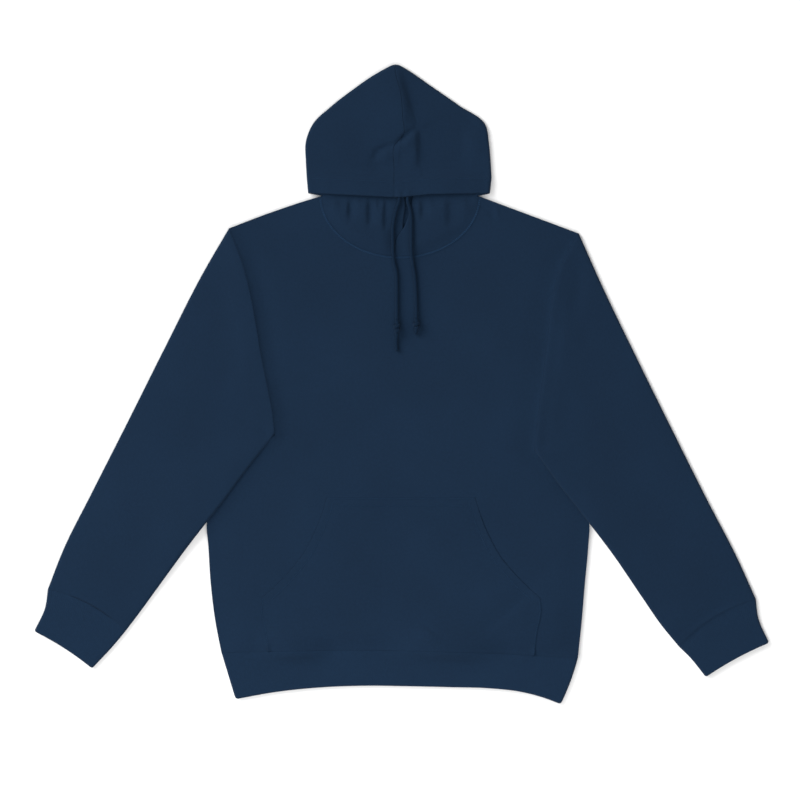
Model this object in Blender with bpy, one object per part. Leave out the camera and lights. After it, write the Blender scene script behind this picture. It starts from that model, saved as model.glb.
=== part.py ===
"""A fleece pullover hoodie laid flat on a surface, front up.

The sleeves slant down beside the body, the hood lies above the neck with its crown folded forward, and the
two ends of the drawcord lie on the chest.

Frame: metres, +Z up from the surface the garment lies on, +Y towards the hood, +X towards the wearer's left
sleeve. The origin is on the surface under the middle of the chest. The sizes below are in millimetres. Right
and left are the wearer's.
"""
import math
from collections import namedtuple

import bmesh
import bpy
import numpy as np

MM = 0.001

# Cloth
FLEECE = 2.4          # one layer of brushed fleece
RIB = 3.2             # the doubled rib of the hem band
CUFF_RIB = 3.0        # the doubled rib of a cuff
SEAM_GAP = 0.3        # clear distance between two pieces at a seam
EDGE_DROP = 0.8       # how much a cut or sewn edge is rounded down
EDGE_WIDTH = 3.2      # over this distance from the edge
CASING = 1.2          # extra thickness of the turned and stitched hood rim

# Body
NECK_HALF = 117.0     # centre to the point where neck and shoulder meet
NECK_HEIGHT = 306.0   # y of those points
FRONT_DROP = 90.0     # depth of the front neckline
BACK_DROP = 18.0      # depth of the back neckline
SHOULDER_SLOPE = 0.371
SHOULDER_BOW_RIGHT = 2.0   # how far the right shoulder seam bows up between neck and tip
SHOULDER_BOW_LEFT = 0.0
NECK_STEPS = 12
SHOULDER_STEPS = 4
SIDE_REACH = 0.25     # share of the width over which the shape of a side bends the rows
LOFT = 1.5            # air between front and back away from the edges
LOFT_REACH = 45.0
BLOUSE = 1.3          # extra rise just above the narrower hem band
BLOUSE_UP = 24.0
BLOUSE_WIDTH = 17.0

# Sides of the body from the hem seam up to the underarm and on along the armhole to the shoulder tip.
EdgeRow = namedtuple("EdgeRow", "right_x right_y left_x left_y")
SIDE_ROWS = [
    EdgeRow(-267.5, -378.8, 266.5, -387.0),
    EdgeRow(-276.2, -335.0, 272.3, -332.0),
    EdgeRow(-283.7, -275.0, 277.4, -272.0),
    EdgeRow(-287.2, -220.0, 282.0, -222.0),
    EdgeRow(-289.7, -184.0, 283.5, -184.0),
    EdgeRow(-283.0, -148.0, 277.0, -156.0),
    EdgeRow(-265.0, -119.0, 262.0, -135.0),
    EdgeRow(-240.0, -99.0, 241.0, -119.0),
    EdgeRow(-212.5, -79.5, 220.5, -99.0),
    EdgeRow(-194.0, -62.0, 208.3, -85.0),
]
ARMHOLE_ROWS = [
    EdgeRow(-187.5, -52.5, 201.8, -75.0),
    EdgeRow(-191.3, -17.6, 205.0, -40.0),
    EdgeRow(-199.5, 25.0, 211.0, 8.0),
    EdgeRow(-208.5, 70.0, 217.5, 58.0),
    EdgeRow(-215.5, 112.5, 223.0, 108.0),
    EdgeRow(-223.8, 157.5, 229.5, 157.5),
    EdgeRow(-234.5, 200.0, 243.0, 206.0),
    EdgeRow(-256.5, 257.0, 268.0, 249.6),
]

# Hem band
HEM_RISE = 7.5        # how far the middle of the hem seam rises above its ends
HEM_SWELL = 2.0       # how far the left end of the band stands out between its two edges
HEM_ENDS = [(-246.5, -448.4), (-187.5, -437.9), (-112.5, -430.4), (-45.0, -428.2), (7.5, -428.9),
            (75.0, -430.4), (138.0, -432.4), (180.0, -437.2), (217.5, -446.9), (241.0, -455.9)]
HEM_ROWS = 3
HEM_AIR = 0.6

# Sleeves: the fold along the outer side and the fold along the inner side, from armhole to cuff seam.
SleeveRow = namedtuple("SleeveRow", "outer_x outer_y inner_x inner_y")
SLEEVE_RIGHT = [
    SleeveRow(-256.5, 257.0, -187.5, -52.5),
    SleeveRow(-293.3, 194.0, -221.5, -93.5),
    SleeveRow(-351.8, 79.9, -266.5, -153.5),
    SleeveRow(-408.8, -34.1, -319.0, -221.0),
    SleeveRow(-464.3, -143.6, -364.0, -282.5),
    SleeveRow(-504.8, -224.6, -392.5, -321.5),
    SleeveRow(-527.8, -283.3, -411.3, -346.3),
]
SLEEVE_LEFT = [
    SleeveRow(268.0, 249.6, 201.8, -75.0),
    SleeveRow(301.3, 174.6, 233.5, -120.5),
    SleeveRow(355.3, 62.1, 278.5, -178.3),
    SleeveRow(409.3, -47.4, 319.0, -231.5),
    SleeveRow(461.8, -152.4, 361.0, -293.0),
    SleeveRow(503.8, -233.4, 391.0, -336.5),
    SleeveRow(533.2, -298.0, 418.0, -369.5),
]
CUFF_RIGHT = [
    SleeveRow(-527.8, -283.3, -411.3, -346.3),
    SleeveRow(-532.0, -311.3, -427.3, -365.6),
    SleeveRow(-548.2, -346.6, -461.5, -402.4),
]
CUFF_LEFT = [
    SleeveRow(533.2, -298.0, 418.0, -369.5),
    SleeveRow(537.3, -327.5, 433.3, -384.3),
    SleeveRow(553.2, -364.0, 458.5, -415.3),
]
SLEEVE_STATIONS = 12
SLEEVE_CROWDING = 1.3     # above 1, stations crowd towards the armhole
SLEEVE_LENGTH = 470.0     # of its shortest side, along which the end stops are measured
SLEEVE_FOLD = 6.2         # thickness of a sleeve at its folded sides
FOLD_STOP = 0.3           # an extra column there, as a share of half that thickness
SLEEVE_CROWN = 2.2        # extra height between them
SLEEVE_CAP = 5.7          # thickness of a sleeve at its armhole seam
SLEEVE_CAP_REACH = 28.0   # over which the sleeve rises from the armhole seam
LIFT_STOPS = [0.04, 0.075]    # columns where a sleeve comes down from the body's edge
LIFT_CLEAR = 0.5          # clear distance where a sleeve lies on the body
LIFT_RUN = 10.0           # distance below the underarm over which it climbs onto the body
LIFT_OUT = 34.0           # distance outside the body's edge at which it lies on the surface again
LIFT_FULL = 8.0           # distance outside the body's edge up to which it is fully lifted
CUFF_BOW = 10.0           # how far the middle of the cuff seam lies up the sleeve
CUFF_END_BOW = 3.0
CUFF_STATIONS = 3
CUFF_LENGTH = 67.0
CUFF_SEAM_ANGLE = 60.0    # between the cuff seam and the sleeve's direction at its sides
CUFF_AIR = 0.6
CUFF_CROWN = 0.8

# Hood: the folded outline from the rim corner up to the temple, and on over the slant to the apex.
HOOD_SIDE_RIGHT = [(-137.7, 309.8), (-139.8, 333.0), (-141.2, 358.0), (-141.2, 387.0), (-132.2, 411.2)]
HOOD_SLANT_RIGHT = [(-132.2, 411.2), (-102.0, 441.2), (-74.8, 462.4), (-34.8, 489.8), (-7.5, 503.0)]
HOOD_SIDE_LEFT = [(134.7, 309.8), (137.3, 333.0), (135.8, 358.0), (133.0, 388.0), (128.8, 410.8)]
HOOD_SLANT_LEFT = [(128.8, 410.8), (87.8, 442.0), (45.8, 471.1), (14.2, 493.2), (-7.5, 503.0)]
HOOD_RIM = [(-137.7, 309.8), (-60.0, 306.2), (-10.0, 303.6), (4.0, 303.8), (42.0, 308.0), (134.7, 309.8)]
HOOD_CROWN_SEAM = [(-9.0, 303.6), (-9.0, 379.5), (6.5, 401.0), (4.5, 420.0), (1.5, 457.5),
                   (-7.5, 498.2), (-7.5, 503.0)]
CASING_WIDTH = 24.0
CASING_STEP = 2.0         # half the width of the step from the casing down to the single layer
HOOD_ROWS = 8             # rows of mesh between the casing and the outline
OUTLINE_STOP = 0.012      # share of a half's width and height taken by the narrow mesh along its outline
RIM_STOP = 0.13           # share of the casing's width taken by the narrow mesh along the rim
NAPE_STOP = 0.1           # the same along the nape
BELT_HEIGHT = 330.0       # y of the back layer's first full row at the centre seam
BELT_SHIFT = 2.0          # how far that row's centre lies to the right of the neck's
INNER_FOLD = 1.2          # radius of the inside of the folded outline
HOOD_MID = 3.3            # height of the folded outline above the surface
HOOD_GAP_LOW = 2.0        # air between the back layer and the crown, away from the rim
RIM_LIFT_SIDE = 1.1       # extra air at the sides of the rim, where a throat flap lies between
RIM_LIFT_MIDDLE = 0.8     # and more at its middle
FLAP_END = (131.0, 308.6)         # where the fold between back layer and throat flap ends
FLAP_END_INNER = (130.0, 311.2)
NECK_INNER = (115.4, 308.4)       # the inside of the fold at the neck point
FLAP_COLUMNS = 3                  # columns for each step of the neckline
FLAP_ROWS = 4
FLAP_FOLD_COLUMNS = 3             # columns along the short fold beside the neck
FLAP_TOP_AT_NECK = 0.17           # share of the flap's free upper edge that lies outside the neck point
FLAP_EDGE_REACH = 0.3             # share of the flap's width that its free front edge bends
FLAP_LIFT = 0.9           # how far a flap stands off the back layer between its pleats
THROAT_HALF = 108.0       # the middle of the throat, where flaps and rim are lifted
THROAT_END = 128.0        # and where that has faded out
RIM_ZONE = (326.0, 352.0)     # y over which the extra air under the rim fades out
PLEAT_RUN = 24.0          # length over which a pleat grows from nothing
FLAP_TOP = [(131.0, 308.6), (118.0, 316.0), (80.0, 321.0), (40.0, 323.0)]
FLAP_EDGE_RIGHT = [(9.0, 0.0), (6.0, 240.0), (4.5, 266.0), (7.5, 286.5), (5.0, 322.0)]
FLAP_EDGE_LEFT = [(-9.0, 0.0), (-6.0, 240.0), (7.5, 262.0), (16.5, 292.0), (21.0, 322.0)]
OVERLAP_LOW = 268.0       # below this the left flap lies on the right one
OVERLAP_RAMP = 22.0       # distance over which it climbs there
OVERLAP_HALF = (12.0, 30.0)   # x over which it comes down again
OVERLAP_FLAT = (12.0, 26.0)   # distance from the middle over which the flaps gain their lift there

# Folds in the cloth: a line from one end to the other, its half width, and its rise (or fall) at the middle.
Fold = namedtuple("Fold", "x0 y0 x1 y1 width rise")
CROWN_FOLDS = [
    Fold(4.0, 474.0, 15.0, 445.0, 9.0, -1.5),
    Fold(15.0, 445.0, 27.0, 352.0, 9.0, -1.8),
    Fold(-12.0, 470.0, -6.0, 400.0, 10.0, 1.3),
    Fold(-9.0, 379.5, -42.0, 363.0, 8.0, -1.2),
    Fold(60.0, 440.0, 66.0, 350.0, 26.0, 0.8),
]
BODY_FOLDS = [
    Fold(-170.0, -378.0, -120.0, -385.0, 14.0, -1.0),
    Fold(26.0, -378.0, 115.0, -382.0, 14.0, -1.0),
    Fold(22.0, -364.0, 24.0, -340.0, 14.0, 0.8),
]
SLEEVE_FOLDS_RIGHT = [
    Fold(-486.0, -288.0, -438.0, -322.0, 12.0, -1.2),
    Fold(-300.0, -60.0, -262.0, -105.0, 22.0, 0.7),
]
SLEEVE_FOLDS_LEFT = [
    Fold(265.0, 203.0, 263.0, 135.0, 16.0, -1.2),
    Fold(514.0, -312.0, 430.0, -352.0, 10.0, -1.2),
]
# Pleats of the throat, where the cord gathers it: place along x, half width, share of the lift, lowest y.
Pleat = namedtuple("Pleat", "x width share low")
PLEATS = [
    Pleat(-72.0, 7.0, 0.9, 264.0),
    Pleat(-43.5, 7.0, 1.0, 252.0),
    Pleat(-19.5, 6.0, 1.0, 246.0),
    Pleat(36.0, 7.0, 0.7, 270.0),
    Pleat(81.0, 12.0, 1.0, 249.0),
    Pleat(104.0, 6.0, 0.8, 282.0),
]

# Pocket: the half of its outline on the +X side, from the hem seam up; the other half mirrors it.
POCKET_MIDDLE = 1.5
POCKET_EDGE = [(201.0, 0.0), (206.0, -345.0), (211.5, -318.0), (210.0, -296.0), (193.0, -281.0),
               (169.0, -256.5), (149.0, -231.5), (134.0, -204.0), (122.5, -177.0), (113.0, -146.0)]
POCKET_COLUMNS = 14
POCKET_HOLLOW = 0.7       # air between pocket and front, away from the stitched edges
POCKET_HOLLOW_REACH = 30.0
POCKET_CLEAR = 0.4
POCKET_HEM_GAP = 1.0

# Drawcords
CORD_RADIUS = 2.5
CORD_RIGHT = [
    (-1.5, 297.0, 9.6), (-4.5, 288.0, 9.2), (-8.5, 272.0, 9.0), (-10.5, 258.0, 9.0),
    (-10.5, 240.0, 9.6), (-10.3, 222.0, 10.4), (-9.0, 207.0, 9.9), (-5.5, 192.0, 9.8),
    (-4.5, 175.0, 9.8), (-4.5, 150.0, 9.8), (-4.5, 132.0, 10.4), (-4.6, 120.0, 12.0),
]
CORD_LEFT = [
    (11.5, 298.0, 9.8), (15.0, 286.0, 9.6), (16.8, 272.0, 10.3), (17.0, 256.0, 10.7),
    (17.0, 240.0, 10.9), (17.2, 222.0, 11.2), (19.0, 206.0, 10.4), (22.0, 188.0, 9.8),
    (23.5, 168.0, 9.8), (24.3, 150.0, 9.8), (24.6, 134.0, 10.4), (24.4, 122.0, 12.0),
]
CORD_SPACING = 12.0
KNOT_GAP = 0.5            # clear distance between a cord's end and its knot
KNOT_SIDES = 10
# A knot and its tail: distance down from the cord's end, radius, and height of the middle line.
KnotRow = namedtuple("KnotRow", "along radius height")
KNOT_RIGHT = [
    KnotRow(0.0, 2.6, 12.5),
    KnotRow(2.0, 4.3, 12.5),
    KnotRow(6.0, 5.2, 12.4),
    KnotRow(11.0, 4.9, 12.1),
    KnotRow(16.0, 5.1, 12.0),
    KnotRow(21.0, 4.2, 11.3),
    KnotRow(24.0, 2.7, 10.8),
    KnotRow(34.0, 2.4, 9.8),
    KnotRow(46.0, 2.5, 9.5),
    KnotRow(48.0, 1.6, 9.5),
]
KNOT_LEFT = [
    KnotRow(0.0, 2.6, 12.5),
    KnotRow(2.0, 4.5, 12.5),
    KnotRow(5.0, 5.3, 12.4),
    KnotRow(8.5, 4.7, 12.3),
    KnotRow(12.0, 5.4, 12.2),
    KnotRow(16.0, 4.6, 11.7),
    KnotRow(18.5, 2.7, 11.2),
    KnotRow(23.0, 2.5, 10.6),
    KnotRow(24.5, 1.6, 10.6),
]

NAVY_FLEECE = (0.0126, 0.0307, 0.0620, 1.0)
NAVY_RIB = (0.0115, 0.0285, 0.0580, 1.0)
NAVY_CORD = (0.0070, 0.0180, 0.0360, 1.0)
ROUGHNESS = 0.9

WELD = 1e-7           # in metres: points of two patches closer than this are one point
SHARP_ANGLE = 50.0    # edges sharper than this are not shaded smooth


# ---------------------------------------------------------------- small helpers

def lerp(a, b, t):
    return a + (b - a) * t


def ease(low, high, value):
    """0 below low, 1 above high, smooth between (or the reverse, when low is above high)."""
    t = min(max((value - low) / (high - low), 0.0), 1.0)
    return t * t * (3.0 - 2.0 * t)


def smooth_path(points):
    """A function of t from 0 to 1 that runs smoothly through the points."""
    knots = np.array(points, dtype=float)
    steps = np.linalg.norm(np.diff(knots, axis=0), axis=1)
    places = np.concatenate([[0.0], np.cumsum(steps)]) / steps.sum()
    slopes = np.gradient(knots, places, axis=0)

    def at(t):
        i = min(max(int(np.searchsorted(places, t, side="right")) - 1, 0), len(places) - 2)
        span = places[i + 1] - places[i]
        s = (t - places[i]) / span
        start = (1 + 2 * s) * (1 - s) ** 2 * knots[i] + s * (1 - s) ** 2 * span * slopes[i]
        end = s * s * (3 - 2 * s) * knots[i + 1] + s * s * (s - 1) * span * slopes[i + 1]
        return start + end

    return at


def straight_path(points):
    """A function of t from 0 to 1 along the straight runs between the points, by length."""
    knots = np.array(points, dtype=float)
    steps = np.linalg.norm(np.diff(knots, axis=0), axis=1)
    places = np.concatenate([[0.0], np.cumsum(steps)]) / steps.sum()
    return lambda t: np.array([np.interp(t, places, knots[:, k]) for k in range(knots.shape[1])])


def along_x(points, x):
    """y on the straight runs between points that are in order of x."""
    return float(np.interp(x, [p[0] for p in points], [p[1] for p in points]))


def distance_to(points, x, y):
    """Distance from (x, y) to the nearest straight run between the points."""
    best = math.inf
    for (x0, y0), (x1, y1) in zip(points, points[1:]):
        run_x, run_y = x1 - x0, y1 - y0
        t = ((x - x0) * run_x + (y - y0) * run_y) / (run_x * run_x + run_y * run_y)
        t = min(max(t, 0.0), 1.0)
        best = min(best, math.hypot(x - x0 - t * run_x, y - y0 - t * run_y))
    return best


def fold_rise(folds, x, y):
    """Sum of the soft ridges and troughs at (x, y)."""
    rise = 0.0
    for fold in folds:
        gap = distance_to([(fold.x0, fold.y0), (fold.x1, fold.y1)], x, y)
        rise += fold.rise * math.exp(-(gap / fold.width) ** 2)
    return rise


def bow(share):
    """A bow between both ends of a line: 0 at the ends, 1 halfway."""
    return 4.0 * share * (1.0 - share)


def bulge(distance, radius):
    """Height share of a half round edge at a distance from it: 0 at the edge, 1 from the radius on."""
    t = min(max(distance / radius, 0.0), 1.0)
    return math.sqrt(1.0 - (1.0 - t) ** 2)


def inset_line(points, distance):
    """The points moved across their line by the distance, to the right of someone who walks along it."""
    moved = []
    for k, (x, y) in enumerate(points):
        before, after = points[max(k - 1, 0)], points[min(k + 1, len(points) - 1)]
        run_x, run_y = after[0] - before[0], after[1] - before[1]
        length = math.hypot(run_x, run_y)
        moved.append((x + distance * run_y / length, y - distance * run_x / length))
    return moved


def coons(left, right, bottom, top, columns, rows, reach=None):
    """Plan points of a patch between four edges; every edge is a list of points, in the order of the grid.

    Lines run straight from bottom to top, and the shape of each side bends them, over the whole width or,
    with a reach, over that share of it.
    """
    left, right = np.array(left, dtype=float), np.array(right, dtype=float)
    bottom, top = np.array(bottom, dtype=float), np.array(top, dtype=float)
    grid = []
    for j, g in enumerate(rows):
        from_left = left[j] - lerp(bottom[0], top[0], g)
        from_right = right[j] - lerp(bottom[-1], top[-1], g)
        line = []
        for i, f in enumerate(columns):
            left_share = ease(reach, 0.0, f) if reach else 1.0 - f
            right_share = ease(1.0 - reach, 1.0, f) if reach else f
            line.append(tuple(lerp(bottom[i], top[i], g) + left_share * from_left + right_share * from_right))
        grid.append(line)
    return grid


def raised(grid, height):
    """The plan points of a grid with a height worked out for each."""
    return [[(x, y, height(x, y)) for x, y in row] for row in grid]


def column_of(grid, index):
    return [row[index] for row in grid]


def between(a, b, share):
    """The plan point at a share of the way from a to b."""
    return tuple(lerp(np.array(a, dtype=float), np.array(b, dtype=float), share))


def shares(*lines):
    """Where each point lies along its line from 0 to 1, averaged over lines of as many points."""
    totals = []
    for line in lines:
        steps = np.linalg.norm(np.diff(np.array(line), axis=0), axis=1)
        totals.append(np.concatenate([[0.0], np.cumsum(steps)]) / steps.sum())
    return list(np.mean(totals, axis=0))


def with_edge_points(points):
    """The points with one more at each end, EDGE_WIDTH from it."""
    start = between(points[0], points[1], EDGE_WIDTH / math.dist(points[0], points[1]))
    end = between(points[-1], points[-2], EDGE_WIDTH / math.dist(points[-1], points[-2]))
    return [points[0], start] + list(points[1:-1]) + [end, points[-1]]


def with_edge_stops(stops, length):
    """Shares of a length from 0 to 1, with one more at each end, EDGE_WIDTH from it."""
    return sorted(list(stops) + [EDGE_WIDTH / length, 1.0 - EDGE_WIDTH / length])


# ---------------------------------------------------------------- building

def material(name, colour, roughness):
    made = bpy.data.materials.new(name)
    made.use_nodes = True
    shader = made.node_tree.nodes["Principled BSDF"]
    shader.inputs["Base Color"].default_value = colour
    shader.inputs["Roughness"].default_value = roughness
    shader.inputs["Metallic"].default_value = 0.0
    return made


def add_object(name, data, colour):
    data.materials.append(material(name + "_cloth", colour, ROUGHNESS))
    bpy.context.scene.collection.objects.link(bpy.data.objects.new(name, data))


def add_piece(name, patches, colour):
    """One closed solid from grids of points whose shared edges are welded."""
    mesh = bpy.data.meshes.new(name)
    bm = bmesh.new()
    for patch in patches:
        rows = [[bm.verts.new((x * MM, y * MM, z * MM)) for x, y, z in row] for row in patch]
        for low, high in zip(rows, rows[1:]):
            for k in range(len(low) - 1):
                bm.faces.new((low[k], low[k + 1], high[k + 1], high[k]))
    bmesh.ops.remove_doubles(bm, verts=bm.verts, dist=WELD)
    bmesh.ops.recalc_face_normals(bm, faces=bm.faces)
    bm.to_mesh(mesh)
    bm.free()
    mesh.shade_smooth()
    mesh.set_sharp_from_angle(angle=math.radians(SHARP_ANGLE))
    add_object(name, mesh, colour)


def walls(low, high):
    """The four edge walls between a grid of low points and a grid of high points."""
    return [
        [low[0], high[0]],
        [low[-1], high[-1]],
        [column_of(low, 0), column_of(high, 0)],
        [column_of(low, -1), column_of(high, -1)],
    ]


def round_edges(low, high, drop_low, drop_high):
    """Draw the edge points of a layer together so that its edges are rounded."""
    last_row, last_column = len(low) - 1, len(low[0]) - 1
    for j in range(last_row + 1):
        for i in range(last_column + 1):
            if j in (0, last_row) or i in (0, last_column):
                x, y, z = low[j][i]
                low[j][i] = (x, y, z + drop_low)
                x, y, z = high[j][i]
                high[j][i] = (x, y, z - drop_high)


# ---------------------------------------------------------------- body

EDGE_ROWS = SIDE_ROWS + ARMHOLE_ROWS
RIGHT_EDGE = [(row.right_x, row.right_y) for row in EDGE_ROWS]
LEFT_EDGE = [(row.left_x, row.left_y) for row in EDGE_ROWS]


def edge_x(edge, y):
    return float(np.interp(y, [p[1] for p in edge], [p[0] for p in edge]))


def hem_seam(x):
    """y of the seam between body and hem band."""
    (x0, y0), (x1, y1) = RIGHT_EDGE[0], LEFT_EDGE[0]
    share = (x - x0) / (x1 - x0)
    return lerp(y0, y1, share) + HEM_RISE * bow(share)


def neck_point(step, drop, inset=0.0):
    """A point of the neckline, from step 0 on the wearer's right to NECK_STEPS on the left."""
    turn = math.pi * (step / NECK_STEPS - 0.5)
    return ((NECK_HALF - inset) * math.sin(turn), NECK_HEIGHT - (drop - inset) * math.cos(turn))


def on_neckline(place, drop, inset=0.0):
    """A point on the straight runs between the neckline's points; place counts in steps, whole or not."""
    low, high = math.floor(place), math.ceil(place)
    return between(neck_point(low, drop, inset), neck_point(high, drop, inset), place - low)


def body_top(drop):
    """The top edge of a body panel: shoulder, neckline, shoulder."""
    points = []
    for k in range(SHOULDER_STEPS):
        x, y = between(RIGHT_EDGE[-1], neck_point(0, drop), k / SHOULDER_STEPS)
        points.append((x, y + SHOULDER_BOW_RIGHT * bow(k / SHOULDER_STEPS)))
    points += [neck_point(step, drop) for step in range(NECK_STEPS + 1)]
    for k in range(1, SHOULDER_STEPS + 1):
        x, y = between(neck_point(NECK_STEPS, drop), LEFT_EDGE[-1], k / SHOULDER_STEPS)
        points.append((x, y + SHOULDER_BOW_LEFT * bow(k / SHOULDER_STEPS)))
    return points


def body_plan(drop):
    """Plan grid of a body panel, with narrow rows and columns along its edges."""
    top = with_edge_points(body_top(drop))
    bottom_x = np.linspace(RIGHT_EDGE[0][0], LEFT_EDGE[0][0], len(top) - 2)
    bottom = with_edge_points([(x, hem_seam(x)) for x in bottom_x])
    right = with_edge_points(RIGHT_EDGE)
    left = with_edge_points(LEFT_EDGE)
    plan = coons(right, left, bottom, top, shares(bottom), shares(right, left), SIDE_REACH)
    plan[-2][1:-1] = inset_line(top, EDGE_WIDTH)[1:-1]
    return plan


def edge_distance(x, y):
    """Distance from the sides, armholes and shoulders of the body."""
    sides = min(x - edge_x(RIGHT_EDGE, y), edge_x(LEFT_EDGE, y) - x)
    seam_y = NECK_HEIGHT - SHOULDER_SLOPE * max(abs(x) - NECK_HALF, 0.0)
    return min(sides, (seam_y - y) / math.hypot(1.0, SHOULDER_SLOPE))


def front_low(x, y):
    """Underside of the front panel."""
    spread = ease(0.0, LOFT_REACH, edge_distance(x, y))
    above_hem = y - hem_seam(x)
    blouse = BLOUSE * math.exp(-((above_hem - BLOUSE_UP) / BLOUSE_WIDTH) ** 2)
    air = spread * (LOFT + blouse + fold_rise(BODY_FOLDS, x, y))
    return FLEECE + SEAM_GAP + max(air, 0.0)


def front_top(x, y):
    return front_low(x, y) + FLEECE


def make_body():
    plan = body_plan(FRONT_DROP)
    low = raised(plan, front_low)
    high = raised(plan, front_top)
    round_edges(low, high, 0.0, EDGE_DROP)
    add_piece("front_panel", [low, high] + walls(low, high), NAVY_FLEECE)

    plan = body_plan(BACK_DROP)
    low = raised(plan, lambda x, y: 0.0)
    high = raised(plan, lambda x, y: FLEECE)
    round_edges(low, high, EDGE_DROP, 0.0)
    add_piece("back_panel", [low, high] + walls(low, high), NAVY_FLEECE)


# ---------------------------------------------------------------- tubes: sleeves, cuffs, hem band

def tube_line(place, v, across, columns, low, high, inset, trim):
    """The lower and the upper line at one station of a tube, on its outside or, with an inset, its inside."""
    under, over = [], []
    for column in columns:
        f = lerp(inset / across, 1.0 - inset / across, column)
        x, y = place(f, v)
        bottom, top = low(x, y, f, v), high(x, y, f, v)
        middle, half = (bottom + top) / 2, (top - bottom) / 2 - inset
        share = bulge(min(column, 1.0 - column) * across, half)
        under.append((x, y, middle - (half - trim) * share))
        over.append((x, y, middle + (half - trim) * share))
    return under, over


def tube(name, place, low, high, stops, stations, wall, colour):
    """A flattened tube of cloth, open at both ends.

    place(f, v) is the plan point at share f across and v along; low and high give the heights of its outside
    at (x, y, f, v), away from the folded sides.
    """
    outer_under, outer_over, inner_under, inner_over = [], [], [], []
    for v in stations:
        across = math.dist(place(0.0, v), place(1.0, v))
        columns = side_stops(stops, across)
        trim = EDGE_DROP if v in (stations[0], stations[-1]) else 0.0
        under, over = tube_line(place, v, across, columns, low, high, 0.0, trim)
        outer_under.append(under)
        outer_over.append(over)
        under, over = tube_line(place, v, across, columns, low, high, wall, 0.0)
        inner_under.append(under)
        inner_over.append(over)
    patches = [outer_under, outer_over, inner_under, inner_over]
    for end in (0, -1):
        patches.append([outer_under[end], inner_under[end]])
        patches.append([outer_over[end], inner_over[end]])
    add_piece(name, patches, colour)


def side_stops(stops, across):
    """Column shares with extra ones where the cloth rounds its folded sides."""
    full = SLEEVE_FOLD / 2 / across
    near = FOLD_STOP * full
    return [0.0, near, full] + [s for s in stops if full < s < 1.0 - full] + [1.0 - full, 1.0 - near, 1.0]


def side_paths(rows):
    """Smooth lines along the inner and the outer folded side."""
    inner = smooth_path([(row.inner_x, row.inner_y) for row in rows])
    outer = smooth_path([(row.outer_x, row.outer_y) for row in rows])
    return inner, outer


def end_direction(path):
    run = path(1.0) - path(0.9)
    return run / np.linalg.norm(run)


def armhole_stops(armhole):
    """Where the armhole's points lie between underarm (0) and shoulder tip (1), by height."""
    low, high = armhole[0][1], armhole[-1][1]
    return [(y - low) / (high - low) for x, y in armhole]


def sleeve_place(rows, armhole, away):
    """Plan of a sleeve: ruled between its folded sides, with the armhole's curve and the cuff seam's bow."""
    inner, outer = side_paths(rows)
    down = end_direction(inner)

    def place(f, v):
        x, y = lerp(inner(v), outer(v), f)
        straight_x, straight_y = between(armhole[0], armhole[-1], f)
        from_straight = edge_x(armhole, straight_y) + away * SEAM_GAP - straight_x
        up = CUFF_BOW * bow(f) * ease(0.6, 1.0, v)
        return (x + (1.0 - v) ** 3 * from_straight - up * down[0], y - up * down[1])

    return place


def lift_over_body(x, y, away):
    """How far a sleeve is raised where its inner side lies on the body."""
    edge = RIGHT_EDGE if away < 0 else LEFT_EDGE
    underarm = edge[len(SIDE_ROWS)][1]
    inside = away * (edge_x(edge, y) - x)
    body = 2 * FLEECE + SEAM_GAP + LOFT * ease(0.0, LOFT_REACH, inside)
    below = ease(underarm, underarm - LIFT_RUN, y)
    return (body + LIFT_CLEAR) * below * ease(-LIFT_OUT, -LIFT_FULL, inside)


def make_sleeve(side, rows, armhole, away, folds):
    def low(x, y, f, v):
        return lift_over_body(x, y, away)

    def high(x, y, f, v):
        rise = ease(0.0, SLEEVE_CAP_REACH, distance_to(armhole, x, y))
        full = SLEEVE_FOLD + SLEEVE_CROWN * math.sqrt(max(bow(f), 0.0))
        creases = rise * math.sin(math.pi * f) * fold_rise(folds, x, y)
        return low(x, y, f, v) + lerp(SLEEVE_CAP, full, rise) + creases

    stations = with_edge_stops(np.linspace(0.0, 1.0, SLEEVE_STATIONS + 1) ** SLEEVE_CROWDING, SLEEVE_LENGTH)
    stops = sorted(armhole_stops(armhole) + LIFT_STOPS)
    tube("sleeve_" + side, sleeve_place(rows, armhole, away), low, high, stops, stations, FLEECE, NAVY_FLEECE)


def make_cuff(side, rows, sleeve_rows, armhole):
    inner, outer = side_paths(rows)
    down = end_direction(side_paths(sleeve_rows)[0])
    seam_gap = SEAM_GAP / math.sin(math.radians(CUFF_SEAM_ANGLE))

    def place(f, v):
        x, y = lerp(inner(v), outer(v), f)
        shift = seam_gap * (1.0 - v) - lerp(CUFF_BOW, CUFF_END_BOW, v) * bow(f)
        return (x + shift * down[0], y + shift * down[1])

    def low(x, y, f, v):
        return 0.0

    def high(x, y, f, v):
        return 2 * CUFF_RIB + CUFF_AIR + CUFF_CROWN * math.sqrt(max(bow(f), 0.0))

    stations = with_edge_stops(np.linspace(0.0, 1.0, CUFF_STATIONS + 1), CUFF_LENGTH)
    stops = sorted(armhole_stops(armhole) + LIFT_STOPS)
    tube("cuff_" + side, place, low, high, stops, stations, CUFF_RIB, NAVY_RIB)


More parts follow.
